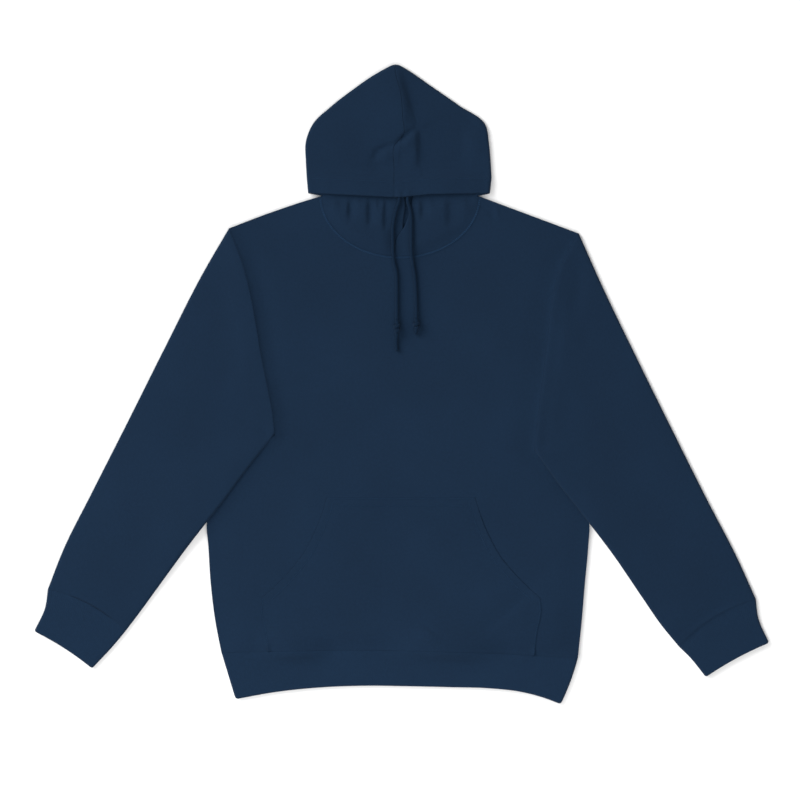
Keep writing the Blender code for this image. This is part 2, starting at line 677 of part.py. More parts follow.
def make_hem_band():
    end_line = smooth_path(HEM_ENDS)
    stops = list(np.linspace(0.0, 1.0, 2 * SHOULDER_STEPS + NECK_STEPS + 1))
    seam_x = [lerp(RIGHT_EDGE[0][0], LEFT_EDGE[0][0], stop) for stop in stops]
    seam_y = [hem_seam(x) for x in seam_x]

    def place(f, v):
        x = lerp(seam_x[0], seam_x[-1], f)
        y = float(np.interp(x, seam_x, seam_y)) - SEAM_GAP
        end_x, end_y = end_line(f)
        return (lerp(x, end_x, v) + HEM_SWELL * bow(v) * f, lerp(y, end_y, v))

    def low(x, y, f, v):
        return 0.0

    def high(x, y, f, v):
        return 2 * RIB + HEM_AIR

    depth = math.dist(place(0.5, 0.0), place(0.5, 1.0))
    stations = with_edge_stops(np.linspace(0.0, 1.0, HEM_ROWS + 1), depth)
    tube("hem_band", place, low, high, stops, stations, RIB, NAVY_RIB)


# ---------------------------------------------------------------- hood

HALF_NECK = NECK_STEPS // 2
NAPE_COLUMNS = 2 * HALF_NECK
LAST_COLUMN = NAPE_COLUMNS + FLAP_FOLD_COLUMNS + 1
# Columns run from the centre seam (0) to the folded side (1), rows from the top of the casing to the temple.
COLUMN_STOPS = sorted(list(np.linspace(0.0, 1.0, LAST_COLUMN)) + [1.0 - OUTLINE_STOP])
ROW_STOPS = sorted(list(np.linspace(0.0, 1.0, HOOD_ROWS + 1)) + [1.0 - OUTLINE_STOP])


def flap_low(x, y, side):
    """Underside of a throat flap: lifted a little, with the pleats pressed down into that lift."""
    pressed = 0.0
    for pleat in PLEATS:
        reach = ease(pleat.low, pleat.low + PLEAT_RUN, y)
        pressed = max(pressed, pleat.share * reach * math.exp(-((x - pleat.x) / pleat.width) ** 2))
    above_overlap = ease(OVERLAP_LOW, OVERLAP_LOW + OVERLAP_RAMP, y)
    from_middle = lerp(ease(*OVERLAP_FLAT, abs(x)), 1.0, above_overlap)
    lift = FLAP_LIFT * (1.0 - pressed) * from_middle * ease(THROAT_END, THROAT_HALF, abs(x))
    if side > 0:
        over = (1.0 - ease(*OVERLAP_HALF, x)) * (1.0 - above_overlap)
        lift = max(lift, (FLEECE + SEAM_GAP) * over)
    return FLEECE + SEAM_GAP + lift


def crown_low(x, y):
    """Underside of the crown, the layer folded forward over the back layer and the throat flaps."""
    rim_zone = 1.0 - ease(*RIM_ZONE, y)
    throat = ease(THROAT_END, THROAT_HALF, abs(x))
    air = HOOD_GAP_LOW + rim_zone * (RIM_LIFT_SIDE + RIM_LIFT_MIDDLE * throat)
    folds = fold_rise(CROWN_FOLDS, x, y) * (1.0 - rim_zone)
    return FLEECE + max(air + folds, SEAM_GAP)


def hood_side(side):
    """The folded outline of one half: its side from the rim up, and its slant on to the apex."""
    if side > 0:
        return HOOD_SIDE_LEFT, HOOD_SLANT_LEFT
    return HOOD_SIDE_RIGHT, HOOD_SLANT_RIGHT


def fold_points(side, inset):
    """Points of the folded outline, on its outside or, inset, on its inside.

    They come in three lines: the casing's rows, the rows above it, and the columns of the slant.
    """
    side_line, slant = hood_side(side)
    upper_path, slant_path = smooth_path(side_line[1:]), smooth_path(slant)
    casing = [side_line[0], between(side_line[0], side_line[1], RIM_STOP), side_line[1]]
    upper = [tuple(upper_path(stop)) for stop in ROW_STOPS]
    top = [tuple(slant_path(1.0 - stop)) for stop in COLUMN_STOPS]
    if inset:
        casing = [(x - side * FLEECE, y) for x, y in casing]
        upper = inset_line(upper, -side * FLEECE)
        top = inset_line(top, side * FLEECE)
        upper[0] = casing[-1]
        upper[-1] = top[-1] = between(upper[-1], top[-1], 0.5)
        top[0] = (slant[-1][0], slant[-1][1] - FLEECE)
    top[0] = (top[0][0] + side * SEAM_GAP / 2, top[0][1])
    return casing, upper, top


def folded_outline(side, inset):
    """The whole folded outline as straight runs, to measure distances from."""
    casing, upper, top = fold_points(side, False)
    line = [casing[0]] + upper + top[::-1][1:]
    return inset_line(line, -side * FLEECE) if inset else line


def crown_plan(side, inset):
    """Rows run from the rim over the casing up to the slant."""
    casing_side, upper, top = fold_points(side, inset)
    seam_shift = side * SEAM_GAP / 2
    seam_x = HOOD_CROWN_SEAM[0][0] + seam_shift
    casing_depth = casing_side[-1][1] - casing_side[0][1]
    rim, casing = [], []
    for stop in COLUMN_STOPS:
        x = lerp(seam_x, casing_side[0][0], stop)
        rim.append((x, along_x(HOOD_RIM, x)))
        x = lerp(seam_x, casing_side[-1][0], stop)
        casing.append((x, along_x(HOOD_RIM, x) + lerp(CASING_WIDTH, casing_depth, stop)))
    rim[-1], casing[-1] = casing_side[0], casing_side[-1]
    near_rim = [between(a, b, RIM_STOP) for a, b in zip(rim, casing)]
    near_rim[-1] = casing_side[1]
    seam_path = straight_path([(HOOD_CROWN_SEAM[0][0], casing[0][1])] + HOOD_CROWN_SEAM[1:])
    seam = [(seam_path(stop)[0] + seam_shift, seam_path(stop)[1]) for stop in ROW_STOPS]
    seam[0], seam[-1] = casing[0], top[0]
    return [rim, near_rim] + coons(seam, upper, casing, top, COLUMN_STOPS, shares(upper, seam))


def flap_fold(side, inset):
    """Both ends of the short fold between back layer and flap: beside the neck, and at the rim's side."""
    if inset:
        return (side * NECK_INNER[0], NECK_INNER[1]), (side * FLAP_END_INNER[0], FLAP_END_INNER[1])
    return (side * (NECK_HALF - SEAM_GAP), NECK_HEIGHT + SEAM_GAP), (side * FLAP_END[0], FLAP_END[1])


def back_plan(side, inset):
    """Rows run from the nape and the flap's fold up to the slant."""
    casing_side, upper, top = fold_points(side, inset)
    seam_shift = side * SEAM_GAP / 2
    nape = []
    for k in range(NAPE_COLUMNS + 1):
        x, y = on_neckline(HALF_NECK + side * k / 2, BACK_DROP)
        nape.append((x, y + SEAM_GAP))
    neck, end = flap_fold(side, inset)
    nape[0] = (seam_shift, nape[0][1])
    nape[-1] = neck
    fold = [between(neck, end, k / FLAP_FOLD_COLUMNS) for k in range(1, FLAP_FOLD_COLUMNS + 1)]
    bottom = nape + fold + [casing_side[0]]
    belt = [between((seam_shift - BELT_SHIFT, BELT_HEIGHT), casing_side[-1], stop) for stop in COLUMN_STOPS]
    near_nape = [between(a, b, NAPE_STOP) for a, b in zip(bottom, belt)]
    near_nape[-1] = casing_side[1]
    seam_path = straight_path([belt[0], (top[0][0], HOOD_CROWN_SEAM[-2][1]), top[0]])
    seam = [tuple(seam_path(stop)) for stop in ROW_STOPS]
    return [bottom, near_nape] + coons(seam, upper, belt, top, COLUMN_STOPS, shares(upper, seam))


def flap_plan(side, inset):
    """Rows run from the short fold and on along the neckline (row 0) to the free edge under the crown."""
    neck, end = flap_fold(side, inset)
    free_edge = FLAP_EDGE_LEFT if side > 0 else FLAP_EDGE_RIGHT
    fold = [between(end, neck, k / FLAP_FOLD_COLUMNS) for k in range(FLAP_FOLD_COLUMNS)]
    bottom = [neck]
    for k in range(1, FLAP_COLUMNS * HALF_NECK + 1):
        place = k / FLAP_COLUMNS if side < 0 else NECK_STEPS - k / FLAP_COLUMNS
        bottom.append(on_neckline(place, FRONT_DROP, SEAM_GAP))
    next_step = neck_point(HALF_NECK - side, FRONT_DROP, SEAM_GAP)
    bottom.append(between(bottom[-1], next_step, abs(free_edge[0][0] / next_step[0])))
    edge_path = smooth_path([bottom[-1]] + free_edge[1:])
    top_path = smooth_path([end] + [(side * x, y) for x, y in FLAP_TOP[1:]] + [free_edge[-1]])
    bottom = fold + bottom
    across = shares(bottom)
    top_stops = np.interp(across, [0.0, across[FLAP_FOLD_COLUMNS], 1.0], [0.0, FLAP_TOP_AT_NECK, 1.0])
    top = [tuple(top_path(float(stop))) for stop in top_stops]
    rows = np.linspace(0.0, 1.0, FLAP_ROWS + 1)
    edge = [tuple(edge_path(row)) for row in rows]
    return coons([end] * len(rows), edge, bottom, top, across, rows, FLAP_EDGE_REACH)


def share_flap_fold(back_under, back_top, flap_top, flap_under):
    """Give back layer and flap the same points along their short fold, one line outside and one inside."""
    middle = (2 * FLEECE + SEAM_GAP) / 2
    for k in range(FLAP_FOLD_COLUMNS + 1):
        column = NAPE_COLUMNS + FLAP_FOLD_COLUMNS - k
        x, y, _ = flap_top[0][k]
        back_under[0][column] = flap_top[0][k] = (x, y, middle)
        x, y, _ = flap_under[0][k]
        back_top[0][column] = flap_under[0][k] = (x, y, middle)
    for row in range(len(flap_top)):
        flap_top[row][0] = flap_top[0][0]
        flap_under[row][0] = flap_under[0][0]


def share_outline(back_under, back_top, crown_top, crown_under):
    """Give back layer and crown the same points along the folded outline."""
    for row in range(len(crown_top)):
        back_under[row][-1] = crown_top[row][-1]
        back_top[row][-1] = crown_under[row][-1]
    back_under[-1] = crown_top[-1]
    back_top[-1] = crown_under[-1]


def make_hood_half(side, name):
    """One solid: the back layer, the crown joined to it along the folded outline, and the throat flap."""
    outline, inner_outline = folded_outline(side, False), folded_outline(side, True)

    def crown_outer(x, y):
        above_rim = y - along_x(HOOD_RIM, x)
        casing = CASING * ease(CASING_WIDTH + CASING_STEP, CASING_WIDTH - CASING_STEP, above_rim)
        high = crown_low(x, y) + FLEECE + casing
        return lerp(HOOD_MID, high, bulge(distance_to(outline, x, y), HOOD_MID))

    def crown_inner(x, y):
        return lerp(HOOD_MID, crown_low(x, y), bulge(distance_to(inner_outline, x, y), INNER_FOLD))

    def back_outer(x, y):
        return lerp(HOOD_MID, 0.0, bulge(distance_to(outline, x, y), HOOD_MID))

    def back_inner(x, y):
        return lerp(HOOD_MID, FLEECE, bulge(distance_to(inner_outline, x, y), INNER_FOLD))

    crown_top = raised(crown_plan(side, False), crown_outer)
    crown_under = raised(crown_plan(side, True), crown_inner)
    back_under = raised(back_plan(side, False), back_outer)
    back_top = raised(back_plan(side, True), back_inner)
    flap_top = raised(flap_plan(side, False), lambda x, y: flap_low(x, y, side) + FLEECE)
    flap_under = raised(flap_plan(side, True), lambda x, y: flap_low(x, y, side))
    share_flap_fold(back_under, back_top, flap_top, flap_under)
    share_outline(back_under, back_top, crown_top, crown_under)

    patches = [crown_top, crown_under, back_under, back_top, flap_top, flap_under]
    # Edge walls: rim, centre seam of crown and back, nape, and the flap's neck, top and front edges.
    patches.append([crown_top[0], crown_under[0]])
    patches.append([column_of(crown_top, 0), column_of(crown_under, 0)])
    patches.append([column_of(back_under, 0), column_of(back_top, 0)])
    patches.append([back_under[0][:NAPE_COLUMNS + 1], back_top[0][:NAPE_COLUMNS + 1]])
    patches.append([back_under[0][-2:], back_top[0][-2:]])
    patches.append([flap_top[0][FLAP_FOLD_COLUMNS:], flap_under[0][FLAP_FOLD_COLUMNS:]])
    patches.append([flap_top[-1], flap_under[-1]])
    patches.append([column_of(flap_top, -1), column_of(flap_under, -1)])
    add_piece(name, patches, NAVY_FLEECE)


# ---------------------------------------------------------------- pocket

def make_pocket():
    right = [(x, y) for x, y in POCKET_EDGE]
    left = [(2 * POCKET_MIDDLE - x, y) for x, y in POCKET_EDGE]
    bottom_x = np.linspace(left[0][0], right[0][0], POCKET_COLUMNS + 1)
    bottom = [(x, hem_seam(x) + POCKET_HEM_GAP) for x in bottom_x]
    left[0], right[0] = bottom[0], bottom[-1]
    top = [between(left[-1], right[-1], k / POCKET_COLUMNS) for k in range(POCKET_COLUMNS + 1)]
    bottom, top = with_edge_points(bottom), with_edge_points(top)
    left, right = with_edge_points(left), with_edge_points(right)
    plan = coons(left, right, bottom, top, shares(bottom, top), shares(left, right))
    rim = left + right[::-1] + [left[0]]

    def low(x, y):
        hollow = POCKET_HOLLOW * ease(0.0, POCKET_HOLLOW_REACH, distance_to(rim, x, y))
        return front_top(x, y) + POCKET_CLEAR + hollow

    under = raised(plan, low)
    over = raised(plan, lambda x, y: low(x, y) + FLEECE)
    round_edges(under, over, 0.0, EDGE_DROP)
    add_piece("kangaroo_pocket", [under, over] + walls(under, over), NAVY_FLEECE)


# ---------------------------------------------------------------- drawcords and knots

def make_cord(name, route):
    """A free cord: a round tube on a curve through points read from the smooth route."""
    path = smooth_path(route)
    length = sum(math.dist(a, b) for a, b in zip(route, route[1:]))
    count = round(length / CORD_SPACING)
    curve = bpy.data.curves.new(name, "CURVE")
    curve.dimensions = "3D"
    curve.bevel_depth = CORD_RADIUS * MM
    curve.bevel_resolution = 2
    curve.use_fill_caps = True
    spline = curve.splines.new("POLY")
    spline.points.add(count)
    for k in range(count + 1):
        x, y, z = path(k / count)
        spline.points[k].co = (x * MM, y * MM, z * MM, 1.0)
    add_object(name, curve, NAVY_CORD)


def make_knot(name, route, rows):
    """The knot and the short tail on a cord's end, turned about a line that runs on down the front."""
    x, y = route[-1][0], route[-1][1] - KNOT_GAP
    mesh = bpy.data.meshes.new(name)
    bm = bmesh.new()
    rings = []
    for row in rows:
        ring = []
        for k in range(KNOT_SIDES):
            turn = 2.0 * math.pi * k / KNOT_SIDES
            across, up = row.radius * math.cos(turn), row.radius * math.sin(turn)
            ring.append(bm.verts.new(((x + across) * MM, (y - row.along) * MM, (row.height + up) * MM)))
        rings.append(ring)
    for ring, after in zip(rings, rings[1:]):
        for k in range(KNOT_SIDES):
            near = (k + 1) % KNOT_SIDES
            bm.faces.new((ring[k], ring[near], after[near], after[k]))
    bm.faces.new(rings[0])
    bm.faces.new(rings[-1])
    bmesh.ops.recalc_face_normals(bm, faces=bm.faces)
    bm.to_mesh(mesh)
    bm.free()
    mesh.shade_smooth()
    mesh.set_sharp_from_angle(angle=math.radians(SHARP_ANGLE))
    add_object(name, mesh, NAVY_CORD)


# ---------------------------------------------------------------- the garment

def main():
    for old in list(bpy.data.objects):
        bpy.data.objects.remove(old, do_unlink=True)
    right_armhole, left_armhole = RIGHT_EDGE[len(SIDE_ROWS):], LEFT_EDGE[len(SIDE_ROWS):]
    make_body()
    make_sleeve("right", SLEEVE_RIGHT, right_armhole, -1, SLEEVE_FOLDS_RIGHT)
    make_sleeve("left", SLEEVE_LEFT, left_armhole, 1, SLEEVE_FOLDS_LEFT)
    make_cuff("right", CUFF_RIGHT, SLEEVE_RIGHT, right_armhole)
    make_cuff("left", CUFF_LEFT, SLEEVE_LEFT, left_armhole)
    make_hem_band()
    make_hood_half(-1, "hood_right")
    make_hood_half(1, "hood_left")
    make_pocket()
    make_cord("drawcord_right", CORD_RIGHT)
    make_cord("drawcord_left", CORD_LEFT)
    make_knot("knot_right", CORD_RIGHT, KNOT_RIGHT)
    make_knot("knot_left", CORD_LEFT, KNOT_LEFT)


main()
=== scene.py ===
"""The looks of a navy fleece pullover hoodie laid flat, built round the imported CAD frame.

Metres in Blender, +Z up, +Y towards the hood, +X towards the wearer's left sleeve; sizes and tables below are
in millimetres of the same frame. Every cloth piece is a shell on its CAD solid's form: two faces a cloth's
thickness apart, with rounded edges, seams, creases and stitching. Right and left are the wearer's.
"""

import math
from collections import namedtuple

import bmesh
import bpy
import numpy as np
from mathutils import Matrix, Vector
from mathutils.geometry import delaunay_2d_cdt
from mathutils.kdtree import KDTree


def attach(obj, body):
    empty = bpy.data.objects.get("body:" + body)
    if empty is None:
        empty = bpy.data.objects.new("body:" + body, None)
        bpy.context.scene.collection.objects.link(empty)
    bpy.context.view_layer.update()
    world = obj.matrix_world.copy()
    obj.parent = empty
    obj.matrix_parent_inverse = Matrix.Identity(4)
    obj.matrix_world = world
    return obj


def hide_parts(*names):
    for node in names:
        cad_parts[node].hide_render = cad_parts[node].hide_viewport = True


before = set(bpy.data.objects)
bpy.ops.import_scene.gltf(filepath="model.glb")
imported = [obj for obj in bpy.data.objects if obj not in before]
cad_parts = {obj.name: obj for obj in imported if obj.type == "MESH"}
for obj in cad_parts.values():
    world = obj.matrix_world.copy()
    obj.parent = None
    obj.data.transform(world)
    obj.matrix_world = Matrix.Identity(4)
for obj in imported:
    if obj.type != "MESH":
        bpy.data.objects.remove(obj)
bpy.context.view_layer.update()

MM = 0.001
RIGHT = -1
LEFT = 1
BOTH = (RIGHT, LEFT)
NAMES = {RIGHT: "right", LEFT: "left"}

# ---------------------------------------------------------------- sizes, as in the CAD

FLEECE = 2.4
RIB = 3.2
CUFF_RIB = 3.0
SEAM_GAP = 0.3    # air that is left between two layers
JOIN = 0.04    # gap between two pieces that are sewn together
# The air under the front: its depth, how far in from the edges it is full, its swell above the hem seam with
# the place and width of that, and the run over which it comes up from the hem band.
LOFT = 1.5
LOFT_REACH = 45.0
BLOUSE = 1.3
BLOUSE_UP = 24.0
BLOUSE_WIDTH = 17.0
HEM_RUN = 20.0

NECK_HALF = 117.0
NECK_HEIGHT = 306.0
FRONT_DROP = 90.0
BACK_DROP = 18.0
SHOULDER_SLOPE = 0.371
SHOULDER_BOW_RIGHT = 2.0
# Sides from the hem seam up to just below the underarm, then the armholes from there to the shoulder tips.
SIDES = {
    RIGHT: [(-267.5, -378.8), (-276.2, -335), (-283.7, -275), (-287.2, -220), (-289.7, -184), (-283, -148),
            (-265, -119), (-242, -97), (-215, -76.5), (-195.6, -60.2)],
    LEFT: [(266.5, -387), (272.3, -332), (277.4, -272), (282, -222), (283.5, -184), (277, -156), (262, -135),
           (243, -117), (222.8, -96.6), (209.9, -83.4)],
}
ARMHOLES = {
    RIGHT: [(-187.5, -52.5), (-191.3, -17.6), (-199.5, 25), (-208.5, 70), (-215.5, 112.5), (-223.8, 157.5),
            (-234.5, 200), (-256.5, 257)],
    LEFT: [(201.8, -75), (205, -40), (211, 8), (217.5, 58), (223, 108), (229.5, 157.5), (243, 206),
           (268, 249.6)],
}
HEM_RISE = 7.5
HEM_SWELL = 2.0
HEM_AIR = 0.6
HEM_LOFT = 2.6
HEM_ROUND = 0.4
HEM_SINK = 1.5
HEM_DRIFT = 0.3
HEM_DRIFT_SCALE = 1.4
HEM_LEAST_AIR = 0.2
HEM_ENDS = [(-246.5, -448.4), (-187.5, -437.9), (-112.5, -430.4), (-45, -428.2), (7.5, -428.9), (75, -430.4),
            (138, -432.4), (180, -437.2), (217.5, -446.9), (241, -455.9)]

# Rows down a sleeve: x and y of its outer side, then of its inner side. A cuff goes on from the last row.
SLEEVES = {
    RIGHT: [(-256.5, 257, -187.5, -52.5), (-293.3, 194, -221.5, -93.5), (-351.8, 79.9, -266.5, -153.5),
            (-408.8, -34.1, -319, -221), (-464.3, -143.6, -364, -282.5), (-504.8, -224.6, -392.5, -321.5),
            (-527.8, -283.3, -411.3, -346.3)],
    LEFT: [(268, 249.6, 201.8, -75), (301.3, 174.6, 233.5, -120.5), (355.3, 62.1, 278.5, -178.3),
           (409.3, -47.4, 319, -231.5), (461.8, -152.4, 361, -293), (503.8, -233.4, 391, -336.5),
           (533.2, -298, 418, -369.5)],
}
CUFFS = {
    RIGHT: [(-532, -311.3, -427.3, -365.6), (-548.2, -346.6, -461.5, -402.4)],
    LEFT: [(537.3, -327.5, 433.3, -384.3), (553.2, -364, 458.5, -415.3)],
}
# Heights of a sleeve: at its folded sides, how much more in its middle, and at the armhole, with the run from
# there to its full height.
SLEEVE_FOLD = 6.2
SLEEVE_CROWN = 2.2
SLEEVE_CAP = 5.7
SLEEVE_CAP_REACH = 28.0
# Where a sleeve lies on the body: its clearance, the run below the underarm, and how far outside the body's
# edge its lower face starts to rise and is up. Then the same for its upper face, with the angles of the fan
# round the underarm in degrees, and how far that face may be pressed down.
LIFT_CLEAR = 0.5
LIFT_RUN = 10.0
LIFT_OUT = 34.0
LIFT_FULL = 8.0
DRAPE_OUT = 120.0
DRAPE_FULL = -6.0
DRAPE_FAN = (25.0, 140.0)
DRAPE_PRESS = 1.1
# Where a sleeve takes on the form of its cuff, the roll of cloth above that seam, and the bows of the cuff's
# two ends.
CUFF_MEET = (0.93, 1.0)
CUFF_ROLL = 0.3
CUFF_ROLL_SCALE = 80.0
CUFF_ROLL_PLACE = 1.2
CUFF_ROLL_WIDTH = 0.6
CUFF_BOW = 10.0
CUFF_BOW_RUN = (0.6, 1.0)
CUFF_END_BOW = 3.0
CUFF_SEAM_ANGLE = 60.0
CUFF_AIR = 0.6
CUFF_CROWN = 0.8
SLEEVE_DRIFT = 0.5
CUFF_DRIFT = 0.25

HOOD_OUTLINES = {
    RIGHT: [(-137.7, 309.8), (-139.8, 333), (-141.2, 358), (-141.2, 387), (-132.2, 411.2), (-102, 441.2),
            (-74.8, 462.4), (-34.8, 489.8), (-18.5, 498.8), (-12.5, 501.8), (-7.5, 503)],
    LEFT: [(134.7, 309.8), (137.3, 333), (135.8, 358), (133, 388), (128.8, 410.8), (87.8, 442),
           (45.8, 471.1), (14.2, 493.2), (4, 499.4), (-1.5, 502.2), (-7.5, 503)],
}
HOOD_RIM = [(-137.7, 309.8), (-60, 306.2), (-10, 303.6), (4, 303.8), (42, 308), (134.7, 309.8)]
CROWN_SEAM = [(-9, 303.6), (-9, 350), (-9, 379.5), (6.5, 401), (4.5, 420), (1.5, 457.5), (-7.5, 497),
              (-7.5, 503)]
BACK_SEAM = [(0, 288.3), (-2, 330), (-7.5, 498), (-7.5, 503)]
# The casing's extra thickness and its width, the height of the outer fold that the layers share, the air
# between them, and how that grows in the zone of the rim.
CASING = 1.2
CASING_WIDTH = 24.0
HOOD_MID = 3.3
HOOD_GAP_LOW = 2.0
RIM_LIFT_SIDE = 1.1
RIM_LIFT_MIDDLE = 0.8
RIM_ZONE = (326.0, 352.0)
# Half widths within which the throat stands open in full, and beyond which it is shut.
THROAT_HALF = 108.0
THROAT_END = 128.0
INNER_FOLD = 1.2
FLAP_END = (131.0, 308.6)
FLAP_LIFT = 0.9
FLAP_TOP = [(131, 308.6), (118, 316), (80, 321), (40, 323)]
FLAP_EDGES = {
    RIGHT: [(9, 216.4), (6, 240), (4.5, 266), (7.5, 286.5), (5, 322)],
    LEFT: [(-9, 216.4), (-6, 240), (7.5, 262), (16.5, 292), (21, 322)],
}
PLEAT_RUN = 24.0
OVERLAP_LOW = 268.0
OVERLAP_RAMP = 22.0
OVERLAP_HALF = (12.0, 30.0)
OVERLAP_FLAT = (12.0, 26.0)
OPEN_THROAT = (304.0, 290.0)
COLLAR_STEP = (-3.0, 1.0)    # from the left flap's free edge, where the step up to it starts and ends
FOLD_HEIGHT = (2 * FLEECE + SEAM_GAP) / 2
INSET_RUN = 8.0

POCKET_MIDDLE = 1.5
POCKET_EDGE = [(201, 0), (206, -345), (211.5, -318), (210, -296), (193, -281), (169, -256.5), (149, -231.5),
               (134, -204), (122.5, -177), (113, -146)]
POCKET_HOLLOW = 0.7
POCKET_HOLLOW_REACH = 30.0
POCKET_CLEAR = 0.4
POCKET_HEM_GAP = 0.05
POCKET_HALF = 201.0
# The front rises towards the edges of the pocket: from how far out, how far above the hem seam in full, and
# how it fades again just inside the edge.
POCKET_SINK_RUN = 45.0
POCKET_SINK_HEM = 14.0
POCKET_SINK_EDGE = (1.4, 0.2)
GROOVE_DEPTH = 0.06
GROOVE_RIPPLE = 0.05
GROOVE_WIDTH = 1.4

CORD_RADIUS = 2.5
# Where the cord goes on from its first point into the casing: along x, along y, and its height.
CORD_INSIDE = (0.4, 10.0, 8.4)
CORDS = {
    RIGHT: [(-1.5, 297, 9.6), (-4.5, 288, 9.2), (-8.5, 272, 9), (-10.5, 258, 9), (-10.5, 240, 9.6),
            (-10.3, 222, 10.4), (-9, 207, 9.9), (-5.5, 192, 9.8), (-4.5, 175, 9.8), (-4.5, 150, 9.8),
            (-4.5, 132, 10.4), (-4.6, 120, 12)],
    LEFT: [(11.5, 298, 9.8), (15, 286, 9.6), (16.8, 272, 10.3), (17, 256, 10.7), (17, 240, 10.9),
           (17.2, 222, 11.2), (19, 206, 10.4), (22, 188, 9.8), (23.5, 168, 9.8), (24.3, 150, 9.8),
           (24.6, 134, 10.4), (24.4, 122, 12)],
}

# ---------------------------------------------------------------- creases

# A soft trough or ridge along a line: its half width on the left and on the right hand, and its rise.
Crease = namedtuple("Crease", "points left right rise")

CROWN_CREASES = [
    Crease([(-5, 496), (-2, 470), (4, 448), (5, 425), (3, 403)], 9, 40, 3.6),
    Crease([(-5, 500), (0, 470), (6, 430), (10, 380), (12, 345)], 55, 45, 1.8),
    Crease([(6.6, 493), (12.3, 472), (16, 457), (21.6, 435), (26, 411)], 45, 8.5, -2.4),
    Crease([(25, 411), (29.5, 397), (31.5, 375), (32, 350)], 60, 5, -2.6),
    Crease([(21, 402), (22, 380), (22, 352)], 5, 14, 2),
    Crease([(20.6, 405.5), (6, 394), (-6, 384)], 4, 4, -3.4),
    Crease([(24, 396), (10, 384), (-1, 374)], 7, 7, 1.7),
    Crease([(-8, 381.5), (-22, 378), (-33, 372), (-39, 361)], 5.5, 5.5, -3),
    Crease([(-14, 368), (-27, 362)], 9, 9, 1.3),
    Crease([(-34, 356), (-38, 336)], 12, 12, -1.4),
    Crease([(74, 440), (84, 400), (84, 345)], 22, 34, -1.4),
    Crease([(108, 402), (116, 362)], 16, 16, 1.6),
    Crease([(96, 432), (112, 412)], 8, 8, -1),
    Crease([(-100, 420), (-80, 360)], 30, 30, 1.2),
]
FRONT_CREASES = [
    Crease([(36, -362), (48, -346)], 20, 20, 2.2),
    Crease([(-60, -366), (-40, -362)], 20, 20, 0.8),
    Crease([(200, -280), (165, -312), (125, -345)], 9, 16, -1.6),
    Crease([(117.5, 303), (125, 289)], 4, 4, -1.8),
    Crease([(131, 298), (139, 274)], 4, 4, -1.8),
    Crease([(143, 291), (147, 274)], 5, 4, 0.9),
]
SLEEVE_CREASES = {
    RIGHT: [
        Crease([(-492.6, -289.9), (-477, -296.1), (-462, -304), (-434.6, -321.7)], 2, 2, 1),
        Crease([(-495, -295.2), (-480.4, -301.2), (-465, -308.8), (-437.2, -326.6)], 2, 2, 0.8),
        Crease([(-300, -60), (-262, -105)], 22, 22, 0.5),
    ],
    LEFT: [
        Crease([(270, 215), (268, 180), (262, 130)], 12, 16, -3.2),
        Crease([(534, -296), (518.6, -301.1), (498.9, -308.8), (468.5, -324.7), (441.3, -344.5),
                (420, -366)], 3.6, 3, 1.1),
        Crease([(449, -346), (436, -357.5), (424, -368)], 4, 4, -1),
    ],
}
HEM_CREASES = [
    Crease([(-222, -374.5), (-180, -377), (-145, -377.5), (-98, -375.5)], 34, 12, 9.2),
    Crease([(-22, -373.5), (45, -375.5), (95, -377.5), (160, -379.5)], 34, 12, 9.8),
    Crease([(-88, -377), (-30, -375)], 8, 9, 0.7),
    Crease([(160, -382), (205, -384)], 8, 8, 0.8),
]
# The share that they keep at their ends, and the power of their fading out.
HEM_FADE = (0.0, 1.5)

# The bulk of an armhole seam: its rise, how far down the sleeve its crest lies, its half width towards the
# body and the sleeve, its share near the underarm, and its share along the sleeve's inner edge below that.
Crest = namedtuple("Crest", "rise out body sleeve near under")
CRESTS = {
    RIGHT: [Crest(5.0, 3.0, 15.0, 34.0, 1.0, 0.5), Crest(1.7, 1.2, 3.6, 16.0, 0.8, 0.0)],
    LEFT: [Crest(1.3, 8.0, 12.0, 30.0, 1.6, 0.3), Crest(1.1, 2.5, 3.4, 9.0, 1.0, 0.0)],
}
NECK_RIDGE = 0.4
NECK_DIP = 0.9
NECK_RIDGE_OUT = 3.4
NECK_RIDGE_WIDTH = 2.4
NECK_DIP_WIDTH = 20.0
NECK_TURN = (-75.0, -35.0)
THROAT_LIFT = 3.0
RIM_PUFF = 1.8
RIM_PUFF_HALF = 60.0
# Pleats of the throat, where the cord gathers it: place along x, half width on the steep side, share of the
# lift, lowest y. The other side is slower by the spread.
PLEAT_SPREAD = 2.6
Pleat = namedtuple("Pleat", "x width share low")
PLEATS = [Pleat(*row) for row in [
    (-90, 5, 0.6, 280), (-75, 3.6, 1, 262), (-59, 4, 0.7, 286), (-45.5, 3.8, 1, 252), (-33, 3.2, 0.8, 274),
    (-21.5, 3.6, 1, 246), (34, 4, 0.9, 262), (50, 5, 0.8, 282), (76, 7, 0.9, 249), (102, 4.5, 0.8, 280),
]]

# ---------------------------------------------------------------- mesh fineness

